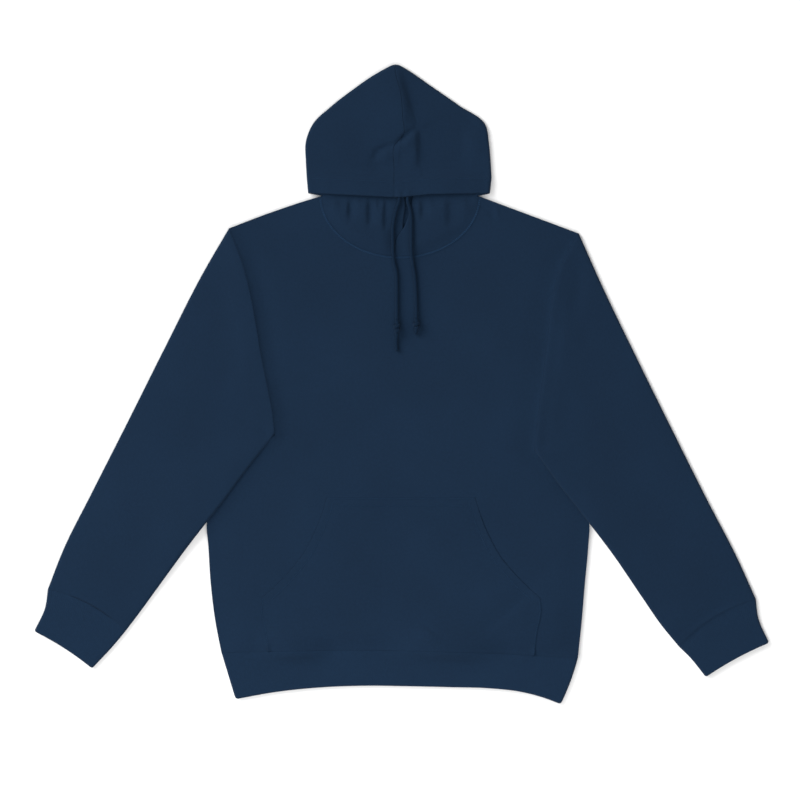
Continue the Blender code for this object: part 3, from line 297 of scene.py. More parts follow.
# Radii of free edges, seams, the crown's seam and the inner side of a fold; depths of the rings along an
# outline; offsets of the rows along a line; spacings of the nets, and steps along lines.
FREE_EDGE = 1.2
SEAM_EDGE = 0.06
CROWN_SEAM_EDGE = 0.3
INNER_EDGE = 0.5
RINGS = (0.06, 0.4, 0.9, 2.0)
ROWS = (-1.7, -0.7, 0.0, 0.7, 1.7)
SHOWN = 3.0
SHOWN_FINE = 2.4
BETWEEN = 8.0
HIDDEN = 9.0
LINE_STEP = 2.5
POCKET_STEP = 1.5
FINE_STEP = 1.2
SHARP = math.radians(45.0)
WELD = 2e-6
EDGE_CLEAR = 1.5    # no even step of a tube lies nearer to an end than this many times its last fine step
RING_KEEP = 0.9     # share of a ring's depth within which another stretch of the outline is too near
NET_FROM_LINE = 0.4     # how far the even net keeps away from rows and rings, as a share of its spacing
NET_FROM_RING = 0.45
TRIANGLES_INSIDE = 1    # the kind of net that delaunay_2d_cdt gives back
SAME_POINT = 1e-6
# Points along the lines that are worked out from a share or an angle; the first is for each given point.
SMOOTH_POINTS = 40
CORD_POINTS = 400
LOOP_POINTS = 90
NECK_POINTS = 181
SHOULDER_POINTS = 41
HEM_POINTS = 215
POCKET_HEM_POINTS = 270
RIM_POINTS = 57
NAPE_POINTS = 61
COLLAR_POINTS = 105


# ---------------------------------------------------------------- helpers

def lerp(a, b, t):
    return a + (b - a) * t


def ease(low, high, value):
    """0 below low, 1 above high, smooth between (or the reverse, when low is above high)."""
    t = np.clip((value - low) / (high - low), 0.0, 1.0)
    return t * t * (3.0 - 2.0 * t)


def bow(share):
    return 4.0 * share * (1.0 - share)


def bulge(distance, radius):
    """Height share of a half round edge at a distance from it: 0 at the edge, 1 from the radius on."""
    t = np.clip(distance / radius, 0.0, 1.0)
    return np.sqrt(1.0 - (1.0 - t) ** 2)


def length_of(points):
    return float(np.linalg.norm(np.diff(np.array(points, dtype=float), axis=0), axis=1).sum())


def run_along(points):
    """The length along the points from the first to each."""
    return np.concatenate([[0.0], np.cumsum(np.linalg.norm(np.diff(points, axis=0), axis=1))])


def smooth_path(points):
    """A function of t from 0 to 1 that runs smoothly through the points; t may be an array."""
    knots = np.array(points, dtype=float)
    places = run_along(knots) / length_of(knots)
    slopes = np.gradient(knots, places, axis=0)

    def at(t):
        t = np.asarray(t, dtype=float)
        i = np.clip(np.searchsorted(places, t, side="right") - 1, 0, len(places) - 2)
        span = (places[i + 1] - places[i])[..., None]
        s = (t - places[i])[..., None] / span
        start = (1 + 2 * s) * (1 - s) ** 2 * knots[i] + s * (1 - s) ** 2 * span * slopes[i]
        end = s * s * (3 - 2 * s) * knots[i + 1] + s * s * (s - 1) * span * slopes[i + 1]
        return start + end

    return at


def walk(points, step=LINE_STEP):
    """The straight runs between the points, divided into even steps of about that length."""
    points = np.array(points, dtype=float)
    places = run_along(points)
    stops = np.linspace(0.0, places[-1], max(int(round(places[-1] / step)), 1) + 1)
    return np.stack([np.interp(stops, places, points[:, k]) for k in range(points.shape[1])], axis=1)


def smooth_line(points, step=LINE_STEP):
    """Points at even steps along a smooth curve through the given ones."""
    return walk(smooth_path(points)(np.linspace(0.0, 1.0, SMOOTH_POINTS * len(points))), step)


def nearest(line, x, y):
    """Distance from each point to the line, the length along it there, and +1 on its left hand, -1 right."""
    line = np.asarray(line, dtype=float)[:, :2]
    shape = np.shape(x)
    x, y = np.ravel(x), np.ravel(y)
    run = np.diff(line, axis=0)
    length = np.maximum(np.linalg.norm(run, axis=1), 1e-9)
    walked = np.concatenate([[0.0], np.cumsum(length)])
    tree = KDTree(len(line))
    for k, (px, py) in enumerate(line):
        tree.insert((px, py, 0.0), k)
    tree.balance()
    closest = np.array([tree.find((px, py, 0.0))[1] for px, py in zip(x, y)], dtype=int)
    best = np.full(x.shape, np.inf)
    along = np.zeros(x.shape)
    hand = np.ones(x.shape)
    for step in (-1, 0):
        k = np.clip(closest + step, 0, len(run) - 1)
        from_x, from_y = x - line[k, 0], y - line[k, 1]
        t = np.clip((from_x * run[k, 0] + from_y * run[k, 1]) / length[k] ** 2, 0.0, 1.0)
        gap = np.hypot(from_x - t * run[k, 0], from_y - t * run[k, 1])
        closer = gap < best
        best = np.where(closer, gap, best)
        along = np.where(closer, walked[k] + t * length[k], along)
        hand = np.where(closer, np.sign(run[k, 0] * from_y - run[k, 1] * from_x), hand)
    return best.reshape(shape), along.reshape(shape), hand.reshape(shape)


def distance_to(line, x, y):
    return nearest(line, x, y)[0]


def left_of(run):
    """Unit vectors on the left hand of the given ones."""
    return np.stack([-run[:, 1], run[:, 0]], axis=1) / np.linalg.norm(run, axis=1)[:, None]


def moved(line, distance):
    """The line moved to the left of someone who walks along it."""
    return line + distance * left_of(np.gradient(line, axis=0))


def crease_rise(creases, x, y, end_share=0.35, end_power=0.7):
    """Sum of the soft ridges and troughs, each fading out towards both its ends, where it keeps end_share."""
    rise = np.zeros(np.shape(x))
    for crease in creases:
        line = smooth_line(crease.points)
        gap, along, hand = nearest(line, x, y)
        width = np.where(hand > 0, crease.left, crease.right)
        fade = np.sin(np.pi * np.clip(along / length_of(line), 0.0, 1.0)) ** end_power
        rise += crease.rise * lerp(end_share, 1.0, fade) * np.exp(-(gap / width) ** 2)
    return rise


def ripple(along, *waves):
    """Uneven small waves along a seam, from -1 to 1: each wave is its length and its phase."""
    total = sum(np.sin(2.0 * np.pi * along / length + phase) for length, phase in waves)
    return total / len(waves)


def drift(x, y):
    """The broad, faint unevenness of slack cloth, from -1 to 1: waves that cross and don't repeat."""
    a = np.sin(x / 61.0 + 1.3 * np.sin(y / 83.0)) * np.cos(y / 71.0 + 0.7)
    b = np.sin((x + 0.6 * y) / 39.0 + 2.1) * np.sin((y - 0.5 * x) / 47.0 + 0.4)
    return 0.6 * a + 0.4 * b


# ---------------------------------------------------------------- objects, outlines and nets

def put(name, data, location=(0.0, 0.0, 0.0)):
    """A new object in the scene."""
    placed = bpy.data.objects.new(name, data)
    placed.location = location
    bpy.context.scene.collection.objects.link(placed)
    return placed


def set_inputs(node, values):
    for name, value in values.items():
        node.inputs[name].default_value = value


def add_piece(name, points, faces, look, node=None, cloth=None):
    """A piece from points in millimetres; a shell's points are welded and carry their place on the cloth."""
    mesh = bpy.data.meshes.new(name)
    mesh.from_pydata(points * MM, [], faces)
    if cloth is not None:
        attribute = mesh.attributes.new("cloth", "FLOAT_VECTOR", "POINT")
        attribute.data.foreach_set("vector", np.column_stack([cloth * MM, np.zeros(len(cloth))]).ravel())
    bm = bmesh.new()
    bm.from_mesh(mesh)
    if cloth is not None:
        bmesh.ops.remove_doubles(bm, verts=bm.verts, dist=WELD)
    bmesh.ops.recalc_face_normals(bm, faces=bm.faces)
    bm.to_mesh(mesh)
    bm.free()
    mesh.shade_smooth()
    if cloth is not None:
        mesh.set_sharp_from_angle(angle=SHARP)
    mesh.materials.append(look)
    piece = put(name, mesh)
    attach(piece, "root")
    if node:
        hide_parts(node)
    return piece


def inside(outline, x, y):
    """Which points lie inside a closed outline."""
    result = np.zeros(np.shape(x), dtype=bool)
    for (x0, y0), (x1, y1) in zip(outline, np.roll(outline, -1, axis=0)):
        if y0 != y1:
            crosses = ((y0 > y) != (y1 > y)) & (x < (x1 - x0) * (y - y0) / (y1 - y0) + x0)
            result ^= crosses
    return result


def fill(outline, spacing, lines=()):
    """A net of triangles inside a closed outline: its own points, rings along it, and an even net further in.

    Along the given lines, such as stitching and sharp creases, the net has close rows of points.
    """
    closed = np.vstack([outline, outline[:1]])
    normal = left_of(np.roll(outline, -1, axis=0) - np.roll(outline, 1, axis=0))
    area = 0.5 * np.sum(closed[:-1, 0] * closed[1:, 1] - closed[1:, 0] * closed[:-1, 1])
    points = [outline]
    for depth in RINGS:
        ring = outline + math.copysign(depth, area) * normal
        keep = inside(outline, ring[:, 0], ring[:, 1])
        keep &= distance_to(closed, ring[:, 0], ring[:, 1]) > RING_KEEP * depth
        points.append(ring[keep])
    low, high = outline.min(axis=0), outline.max(axis=0)
    rows = np.arange(low[1] + spacing / 2, high[1], spacing * math.sqrt(0.75))
    net = [(x + (k % 2) * spacing / 2, y)
           for k, y in enumerate(rows) for x in np.arange(low[0], high[0], spacing)]
    net = np.array(net).reshape(-1, 2)
    net = net[inside(outline, net[:, 0], net[:, 1])]
    for line in lines:
        close = np.vstack([moved(line, offset) for offset in ROWS])
        close = close[inside(outline, close[:, 0], close[:, 1])]
        points.append(close[distance_to(closed, close[:, 0], close[:, 1]) > RINGS[1]])
        net = net[distance_to(line, net[:, 0], net[:, 1]) > ROWS[-1] + NET_FROM_LINE * spacing]
    net = net[distance_to(closed, net[:, 0], net[:, 1]) > RINGS[-1] + NET_FROM_RING * spacing]
    points = np.vstack(points + [net])
    edges = [(k, (k + 1) % len(outline)) for k in range(len(outline))]
    _, _, faces, source, _, _ = delaunay_2d_cdt([tuple(p) for p in points], edges, [], TRIANGLES_INSIDE,
                                                SAME_POINT)
    order = np.array([origin[0] for origin in source])
    return points[order], faces, order


class Shell:
    """Faces of one piece, gathered and welded into one closed mesh."""

    def __init__(self, name):
        self.name = name
        self.points, self.cloth, self.faces = [], [], []
        self.count = 0

    def add(self, points, cloth, faces):
        self.points.append(np.asarray(points, dtype=float))
        self.cloth.append(np.asarray(cloth, dtype=float))
        self.faces += [[index + self.count for index in face] for face in faces]
        self.count += len(points)

    def surface(self, outline, spacing, height, lines=()):
        """A filled outline at a height worked out for each point; an outline with heights keeps its own."""
        points, faces, source = fill(outline[:, :2], spacing, lines)
        x, y = points[:, 0], points[:, 1]
        z = height(x, y)
        if outline.shape[1] == 3:
            on_edge = source < len(outline)
            z[on_edge] = outline[source[on_edge], 2]
        self.add(np.stack([x, y, z], axis=1), points, faces)

    def grid(self, points, cloth):
        """A grid of points, an array of rows by columns by 3."""
        rows, columns = points.shape[:2]
        index = np.arange(rows * columns).reshape(rows, columns)
        corners = np.stack([index[:-1, :-1], index[:-1, 1:], index[1:, 1:], index[1:, :-1]], axis=-1)
        self.add(points.reshape(-1, 3), cloth.reshape(-1, 2), corners.reshape(-1, 4).tolist())

    def build(self, look, node):
        cloth = np.vstack(self.cloth)
        return add_piece(self.name, np.vstack(self.points), self.faces, look, node, cloth)


def layer(name, outline, low, high, look, node, spacing=SHOWN, radius=SEAM_EDGE, lines=(), free=None):
    """One layer of cloth between two heights, its edge rounded all the way round.

    Where free lines are given, the radius holds for them alone, and the rest of the outline has a seam's.
    """
    closed = np.vstack([outline, outline[:1]])

    def height(x, y, side):
        bottom, top = low(x, y), high(x, y)
        share = bulge(distance_to(closed, x, y), radius if free is None else SEAM_EDGE)
        for line in free or ():
            share = np.minimum(share, bulge(distance_to(line, x, y), radius))
        return (bottom + top) / 2 + side * (top - bottom) / 2 * share

    shell = Shell(name)
    shell.surface(outline, spacing, lambda x, y: height(x, y, 1.0), lines)
    shell.surface(outline, HIDDEN, lambda x, y: height(x, y, -1.0))
    return shell.build(look, node)


# ---------------------------------------------------------------- camera and floor

SENSOR = 36.0


def look_down(name, height, width):
    """A long-lensed camera straight above the origin that sees a square of the given width at the surface."""
    camera = bpy.data.cameras.new(name)
    camera.sensor_width = SENSOR
    camera.lens = SENSOR * height / width
    camera.clip_end = 4.0 * height
    bpy.context.scene.camera = put(name, camera, (0.0, 0.0, height))


def make_floor(w, height):
    """A plain pale surface, w to each side."""
    mesh = bpy.data.meshes.new("floor")
    mesh.from_pydata([(-w, -w, height), (w, -w, height), (w, w, height), (-w, w, height)], [], [(0, 1, 2, 3)])
    look = bpy.data.materials.new("floor")
    look.use_nodes = True
    set_inputs(look.node_tree.nodes["Principled BSDF"],
               {"Base Color": (0.86, 0.86, 0.86, 1.0), "Roughness": 0.9, "Specular IOR Level": 0.1})
    mesh.materials.append(look)
    placed = put("floor", mesh)
    return placed


look_down("camera", height=6.0, width=1.2)
floor = make_floor(w=6.0, height=-0.0002)


# ---------------------------------------------------------------- materials

NAVY = (0.0051, 0.0161, 0.0372)
SHEEN_TINT = (0.35, 0.5, 0.7, 1.0)
TONE_STOPS = (0.35, 0.65)
# Scale, detail and roughness of each noise.
FUZZ = (900.0, 3.0, 0.7)
MOTTLE = (260.0, 4.0, 0.6)
DYE = (9.0, 3.0, 0.5)
STRANDS = (1600.0, 2.0, 0.5)


def shade(colour, factor):
    return tuple(channel * factor for channel in colour[:3]) + (1.0,)


class Nodes:
    """Short ways to add and link shader nodes of one material."""

    def __init__(self, name):
        self.material = bpy.data.materials.new(name)
        self.material.use_nodes = True
        self.tree = self.material.node_tree
        self.shader = self.tree.nodes["Principled BSDF"]

    def add(self, kind, **settings):
        node = self.tree.nodes.new(kind)
        for key, value in settings.items():
            setattr(node, key, value)
        return node

    def link(self, source, target):
        self.tree.links.new(source, target)

    def math(self, operation, first, second=None):
        node = self.add("ShaderNodeMath", operation=operation)
        for socket, value in zip(node.inputs, (first, second)):
            if isinstance(value, (int, float)):
                socket.default_value = value
            elif value is not None:
                self.link(value, socket)
        return node.outputs[0]

    def mix(self, first, share, second):
        """The first by its share plus the second by the rest."""
        rest = self.math("MULTIPLY", second, 1.0 - share)
        return self.math("ADD", self.math("MULTIPLY", first, share), rest)

    def noise(self, vector, scale, detail, roughness):
        node = self.add("ShaderNodeTexNoise")
        set_inputs(node, {"Scale": scale, "Detail": detail, "Roughness": roughness})
        self.link(vector, node.inputs["Vector"])
        return node.outputs["Fac"]

    def tone(self, factor, colour, spread):
        """Colour the shader, darker and lighter by the spread as the factor goes from low to high."""
        ramp = self.add("ShaderNodeValToRGB")
        for element, stop, share in zip(ramp.color_ramp.elements, TONE_STOPS, (1.0 - spread, 1.0 + spread)):
            element.position = stop
            element.color = shade(colour, share)
        self.link(factor, ramp.inputs["Fac"])
        self.link(ramp.outputs["Color"], self.shader.inputs["Base Color"])

    def bump(self, height, distance, normal=None):
        node = self.add("ShaderNodeBump")
        set_inputs(node, {"Strength": 0.5, "Distance": distance})
        self.link(height, node.inputs["Height"])
        if normal is not None:
            self.link(normal, node.inputs["Normal"])
        return node.outputs["Normal"]

    def finish(self, normal, roughness, specular, sheen):
        self.link(normal, self.shader.inputs["Normal"])
        set_inputs(self.shader, {"Roughness": roughness, "Specular IOR Level": specular,
                                 "Sheen Weight": sheen, "Sheen Tint": SHEEN_TINT})
        return self.material


def knit_look(name, colour, depth, wale=0.0012, course=0.0009, lean=2.4):
    """Plain knit: columns of small V stitches, a little fuzz, and slight unevenness of dye.

    wale and course are the width and height of one stitch in metres, and lean slants the two legs of its V.
    """
    nodes = Nodes(name)
    cloth = nodes.add("ShaderNodeAttribute", attribute_name="cloth").outputs["Vector"]
    split = nodes.add("ShaderNodeSeparateXYZ")
    nodes.link(cloth, split.inputs[0])
    across, along = split.outputs["X"], split.outputs["Y"]
    columns = nodes.math("SINE", nodes.math("MULTIPLY", across, 2.0 * math.pi / wale))
    leg = nodes.math("ABSOLUTE", nodes.math("SINE", nodes.math("MULTIPLY", across, math.pi / wale)))
    row = nodes.math("MULTIPLY", along, 2.0 * math.pi / course)
    legs = nodes.math("SINE", nodes.math("ADD", row, nodes.math("MULTIPLY", leg, lean)))
    nodes.tone(nodes.mix(nodes.noise(cloth, *MOTTLE), 0.6, nodes.noise(cloth, *DYE)), colour, spread=0.1)
    normal = nodes.bump(nodes.mix(columns, 0.5, legs), depth)
    normal = nodes.bump(nodes.noise(cloth, *FUZZ), distance=0.00025, normal=normal)
    set_inputs(nodes.shader, {"Sheen Roughness": 0.6})
    return nodes.finish(normal, roughness=0.95, specular=0.1, sheen=0.04)


def thread_look(name, colour, roughness):
    """Twisted thread or braided cord: fine strands."""
    nodes = Nodes(name)
    strands = nodes.noise(nodes.add("ShaderNodeTexCoord").outputs["Object"], *STRANDS)
    nodes.tone(strands, colour, spread=0.25)
    return nodes.finish(nodes.bump(strands, distance=0.0002), roughness, specular=0.05, sheen=0.08)


fleece = knit_look("navy_fleece", NAVY, 0.00016)
# The rib's colour is the fleece's navy made 7% lighter: painted light that evens out the shade in the valleys
# between its ribs.
rib_knit = knit_look("navy_rib", shade(NAVY, 1.07), 0.00014)
# The cord's colour is the fleece's navy darkened to 0.72: painted shade that dims the side of the round cord
# that the key light falls on.
braid = thread_look("navy_braid", shade(NAVY, 0.72), 0.95)
thread = thread_look("navy_thread", shade(NAVY, 1.9), 0.6)
neck_thread = thread_look("navy_neck_thread", shade(NAVY, 2.3), 0.6)


# ---------------------------------------------------------------- cords and knots

CORD_SIDES = 24
CORD_STEP = 0.8
BRAID_STRANDS = 8
BRAID_PITCH = 9.0
BRAID_DEPTH = 0.16
BRAID_MEAN = 1.27
OBLIQUE = (0.31, 0.17, 0.93)    # a direction along which no cord starts


def rope(path, radius, first=0):
    """Points and faces of a round braided tube; radius is a number, or one for each point of the path."""
    path = np.asarray(path, dtype=float)
    radius = np.broadcast_to(radius, len(path))
    run = np.gradient(path, axis=0)
    run /= np.linalg.norm(run, axis=1)[:, None]
    frames = [np.cross(run[0], OBLIQUE)]
    for ahead in run:
        across = frames[-1] - ahead * np.dot(frames[-1], ahead)
        frames.append(across / np.linalg.norm(across))
    left = np.array(frames[1:])
    up = np.cross(run, left)
    turn = 2.0 * np.pi * np.arange(CORD_SIDES) / CORD_SIDES
    phase = 2.0 * np.pi * run_along(path)[:, None] / BRAID_PITCH
    one_way = np.sin(BRAID_STRANDS / 2 * turn[None, :] + BRAID_STRANDS / 2 * phase)
    other_way = np.sin(BRAID_STRANDS / 2 * turn[None, :] - BRAID_STRANDS / 2 * phase)
    relief = BRAID_DEPTH * (np.abs(one_way) + np.abs(other_way) - BRAID_MEAN)
    reach = radius[:, None] + relief * np.minimum(radius[:, None] / CORD_RADIUS, 1.0)
    ring = np.cos(turn)[None, :, None] * left[:, None, :] + np.sin(turn)[None, :, None] * up[:, None, :]
    points = path[:, None, :] + reach[:, :, None] * ring
    index = first + np.arange(len(path) * CORD_SIDES).reshape(len(path), CORD_SIDES)
    after = np.roll(index, -1, axis=1)
    quads = np.stack([index[:-1], after[:-1], after[1:], index[1:]], axis=-1).reshape(-1, 4).tolist()
    return points.reshape(-1, 3), quads + [index[0].tolist(), index[-1].tolist()]


def make_cord(side):
    """A free end of the drawcord with its knot, its start drawn back into the hood's casing."""
    knot = make_knot(side)
    name = "drawcord_" + NAMES[side]
    x, y, _ = CORDS[side][0]
    start = [(x + CORD_INSIDE[0], y + CORD_INSIDE[1], CORD_INSIDE[2])]
    path = walk(smooth_path(start + CORDS[side])(np.linspace(0.0, 1.0, CORD_POINTS)), CORD_STEP)
    points, faces = rope(path, CORD_RADIUS)
    cord = add_piece(name + "_braid", points, faces, braid, name)


Knot = namedtuple("Knot", "body tail wrap_from wrap_to turns tail_height")
KNOTS = {
    RIGHT: Knot(23.0, 47.0, 4.6, 17.2, 1.75, 9.8),
    LEFT: Knot(17.0, 24.0, 4.4, 13.0, 1.60, 10.6),
}
KNOT_HEIGHT = 12.3
KNOT_SWELL = 0.5
START_TURN = -1.9
LOOP_RADIUS = 2.1
LOOP_REACH = (0.8, 3.2)
LOOP_SLANT = 1.6
LOOP_END = 0.1
KNOT_STEP = 0.7
KNOT_SWAY = 0.9
SWELL_SHARE = 2.6
TAIL_FROM = 0.7     # share of the knot after which the tail sinks, and the length past the knot that it takes
TAIL_RUN = 10.0
SEALED = 2.2    # length over which the heat-sealed tip narrows, its share at the very end, and its lip
TIP_SHARE = 0.55
LIP = 0.08
LIP_PLACE = 3.0
LIP_WIDTH = 1.5


def make_knot(side):
    """An overhand knot: the cord runs on through it to a short tail, with a tight slanting loop round it."""
    knot = KNOTS[side]
    name = "knot_" + NAMES[side]
    x, y, _ = CORDS[side][-1]

    def height(down):
        sunk = ease(TAIL_FROM * knot.body, knot.body + TAIL_RUN, down)
        return lerp(KNOT_HEIGHT, knot.tail_height, sunk)

    down = np.linspace(0.0, knot.tail, int(knot.tail / KNOT_STEP))
    core = np.stack([x + KNOT_SWAY * np.sin(down / knot.body * np.pi), y - down, height(down)], axis=1)
    swell = KNOT_SWELL * np.exp(-((down - knot.body / 2) / (knot.body / SWELL_SHARE)) ** 2)
    from_tip = knot.tail - down
    lip = LIP * np.exp(-((from_tip - LIP_PLACE) / LIP_WIDTH) ** 2)
    heat_sealed = TIP_SHARE + (1.0 - TIP_SHARE) * bulge(from_tip, SEALED) + lip
    points, faces = rope(core, (CORD_RADIUS + swell) * heat_sealed)

    t = np.linspace(0.0, 1.0, LOOP_POINTS)
    turn = START_TURN + 2.0 * math.pi * knot.turns * t
    reach = lerp(*LOOP_REACH, np.minimum(ease(0.0, LOOP_END, t), ease(1.0, 1.0 - LOOP_END, t)))
    down = lerp(knot.wrap_from, knot.wrap_to, t) + LOOP_SLANT * np.sin(turn)
    loop = np.stack([x + reach * np.cos(turn), y - down, height(down) + reach * np.sin(turn)], axis=1)
    loop_points, loop_faces = rope(loop, LOOP_RADIUS, len(points))
    points = np.vstack([points, loop_points])
    return add_piece(name + "_tied", points, faces + loop_faces, braid, name)


# ---------------------------------------------------------------- sewing thread

STITCH_LENGTH = 2.5
STITCH_PITCH = 3.1
STITCH_WIDTH = 0.55
STITCH_SIDES = 6
STITCH_RINGS = 4
STITCH_END = 0.45     # share of its width at the ends
STITCH_ARCH = 0.18
STITCH_SINK = 0.12
NECK_ROWS = (1.8, 3.2)
NECK_THREAD = 1.0
NECK_SINK = 0.2


def stitches(name, rows, height, look, sink=STITCH_SINK, width=STITCH_WIDTH):
    """Rows of short stitches that lie on a surface, as one mesh."""
    share = np.linspace(0.0, 1.0, STITCH_RINGS + 1)[None, :, None]
    turn = 2.0 * np.pi * np.arange(STITCH_SIDES)[None, None, :] / STITCH_SIDES
    radius = width / 2 * (STITCH_END + (1.0 - STITCH_END) * np.sin(np.pi * share) ** 0.5)
    points, faces, count = [], [], 0
    for row in rows:
        stops = walk(row, STITCH_PITCH)
        run = np.diff(stops, axis=0)[:, None, None, :] * STITCH_LENGTH / STITCH_PITCH
        middle = ((stops[:-1] + stops[1:]) / 2)[:, None, None, :]
        place = middle + (share[..., None] - 0.5) * run
        ahead = run / np.linalg.norm(run, axis=-1, keepdims=True)
        lie = height(place[..., 0].ravel(), place[..., 1].ravel()).reshape(place.shape[:3])
        x = place[..., 0] - ahead[..., 1] * radius * np.cos(turn)
        y = place[..., 1] + ahead[..., 0] * radius * np.cos(turn)
        z = lie - sink + STITCH_ARCH * np.sin(np.pi * share) + width / 2 + radius * np.sin(turn)
        points.append(np.stack([x, y, z], axis=-1).reshape(-1, 3))
        index = count + np.arange(x.size).reshape(x.shape)
        after = np.roll(index, -1, axis=2)
        sides = np.stack([index[:, :-1], after[:, :-1], after[:, 1:], index[:, 1:]], axis=-1)
        faces += sides.reshape(-1, 4).tolist() + index[:, 0].tolist() + index[:, -1].tolist()
        count += x.size
    return add_piece(name, np.vstack(points), faces, look)


# ---------------------------------------------------------------- body

SIDE_LINES = {side: smooth_line(SIDES[side] + ARMHOLES[side][:1]) for side in BOTH}
ARM_LINES = {side: smooth_line(ARMHOLES[side]) for side in BOTH}
BODY_EDGES = {side: np.vstack([SIDE_LINES[side], ARM_LINES[side][1:]]) for side in BOTH}
ARMHOLE_WAVES = ((23.0, 0.4), (37.0, 2.0), (61.0, 4.1))
POCKET_WAVES = ((17.0, 0.0), (29.0, 1.0))


def edge_x(line, y):
    """x of a line whose points rise in y."""
    return np.interp(y, line[:, 1], line[:, 0])


def body_edge(side, y):
    return edge_x(BODY_EDGES[side], y)


def hem_share(x):
    """How far along the hem seam, from the right end to the left one."""
    return (x - SIDES[RIGHT][0][0]) / (SIDES[LEFT][0][0] - SIDES[RIGHT][0][0])


def hem_seam(x):
    share = hem_share(x)
    return lerp(SIDES[RIGHT][0][1], SIDES[LEFT][0][1], share) + HEM_RISE * bow(share)


def neck_arc(turn, half, drop, rise=0.0):
    """Points of an ellipse that hangs between the neck points, by their turn from its middle."""
    return np.stack([half * np.sin(turn), NECK_HEIGHT + rise - drop * np.cos(turn)], axis=1)


def neckline(drop):
    """The neckline from the right neck point round to the left one."""
    return walk(neck_arc(np.linspace(-math.pi / 2, math.pi / 2, NECK_POINTS), NECK_HALF, drop))


NECK_LINE = neckline(FRONT_DROP)


def shoulder_line(side):
    """The shoulder seam from the neck point to the tip; the right one bows up."""
    tip = ARMHOLES[side][-1]
    share = np.linspace(0.0, 1.0, SHOULDER_POINTS)
    line = np.stack([lerp(side * NECK_HALF, tip[0], share), lerp(NECK_HEIGHT, tip[1], share)], axis=1)
    if side == RIGHT:
        line[:, 1] += SHOULDER_BOW_RIGHT * bow(share)
    return walk(line)


def joined(*lines):
    """Lines end to end, as one closed outline without repeated points."""
    return np.vstack([line[:-1] for line in lines])


def body_outline(drop):
    """Anticlockwise from the right end of the hem seam."""
    hem_x = np.linspace(SIDES[RIGHT][0][0], SIDES[LEFT][0][0], HEM_POINTS)
    hem = np.stack([hem_x, hem_seam(hem_x)], axis=1)
    return joined(hem, SIDE_LINES[LEFT], ARM_LINES[LEFT], shoulder_line(LEFT)[::-1], neckline(drop)[::-1],
                  shoulder_line(RIGHT), ARM_LINES[RIGHT][::-1], SIDE_LINES[RIGHT][::-1])


def edge_distance(x, y):
    """Distance from the sides, armholes and shoulders of the body."""
    sides = np.minimum(x - body_edge(RIGHT, y), body_edge(LEFT, y) - x)
    seam_y = NECK_HEIGHT - SHOULDER_SLOPE * np.maximum(np.abs(x) - NECK_HALF, 0.0)
    return np.minimum(sides, (seam_y - y) / math.hypot(1.0, SHOULDER_SLOPE))


def crest_line(side):
    """The sleeve's inner edge, then the armhole from the underarm on; and where the underarm is."""
    inner = smooth_line([row[2:] for row in SLEEVES[side][:4]])
    return np.vstack([inner[::-1], ARM_LINES[side][1:]]), length_of(inner)


CREST_LINES = {side: crest_line(side) for side in BOTH}
# Along a crest line: where the underarm's share takes over, and how low the crest is at the shoulder tip.
UNDERARM_TURN = (-60.0, 10.0)
UNDERARM_RUN = 70.0
TIP_HEIGHT = 0.6
TIP_RUN = 55.0
PUCKER = 0.3
PUCKER_WIDTH = 7.0


def armhole_crest(side, x, y):
    """The soft crest along an armhole seam, with the small puckers that its stitches pull in."""
    line, underarm = CREST_LINES[side]
    gap, along, hand = nearest(line, x, y)
    upward = ease(underarm + UNDERARM_TURN[0], underarm + UNDERARM_TURN[1], along)
    top = TIP_HEIGHT + (1.0 - TIP_HEIGHT) * ease(0.0, TIP_RUN, length_of(line) - along)
    total = PUCKER * ripple(along, *ARMHOLE_WAVES) * np.exp(-(gap / PUCKER_WIDTH) ** 2)
    for crest in CRESTS[side]:
        onto_body = side * hand * gap + crest.out
        width = np.where(onto_body > 0.0, crest.body, crest.sleeve)
        near = lerp(crest.near, 1.0, ease(underarm, underarm + UNDERARM_RUN, along))
        share = lerp(crest.under, near, upward)
        total = total + crest.rise * share * top * np.exp(-(onto_body / width) ** 2)
    return total


def hem_height(share):
    """Height of the upper face of the hem band where it is sewn to the body."""
    return 2 * RIB + HEM_AIR + HEM_LOFT * np.maximum(bow(share), 0.0) ** HEM_ROUND


def collar_lift(x):
    """How high the throat flaps stand above the layer under them where they are sewn to the body."""
    lift = FLAP_LIFT * ease(*OVERLAP_FLAT, np.abs(x)) * ease(THROAT_END, THROAT_HALF, np.abs(x))
    edge = FLAP_EDGES[LEFT][0][0]
    over = ease(edge + COLLAR_STEP[0], edge + COLLAR_STEP[1], x) * (1.0 - ease(*OVERLAP_HALF, x))
    return np.maximum(lift, (FLEECE + SEAM_GAP) * over)


BODY_DRIFT = 0.5
LEAST_AIR = 0.1
POCKET_FADE = 8.0


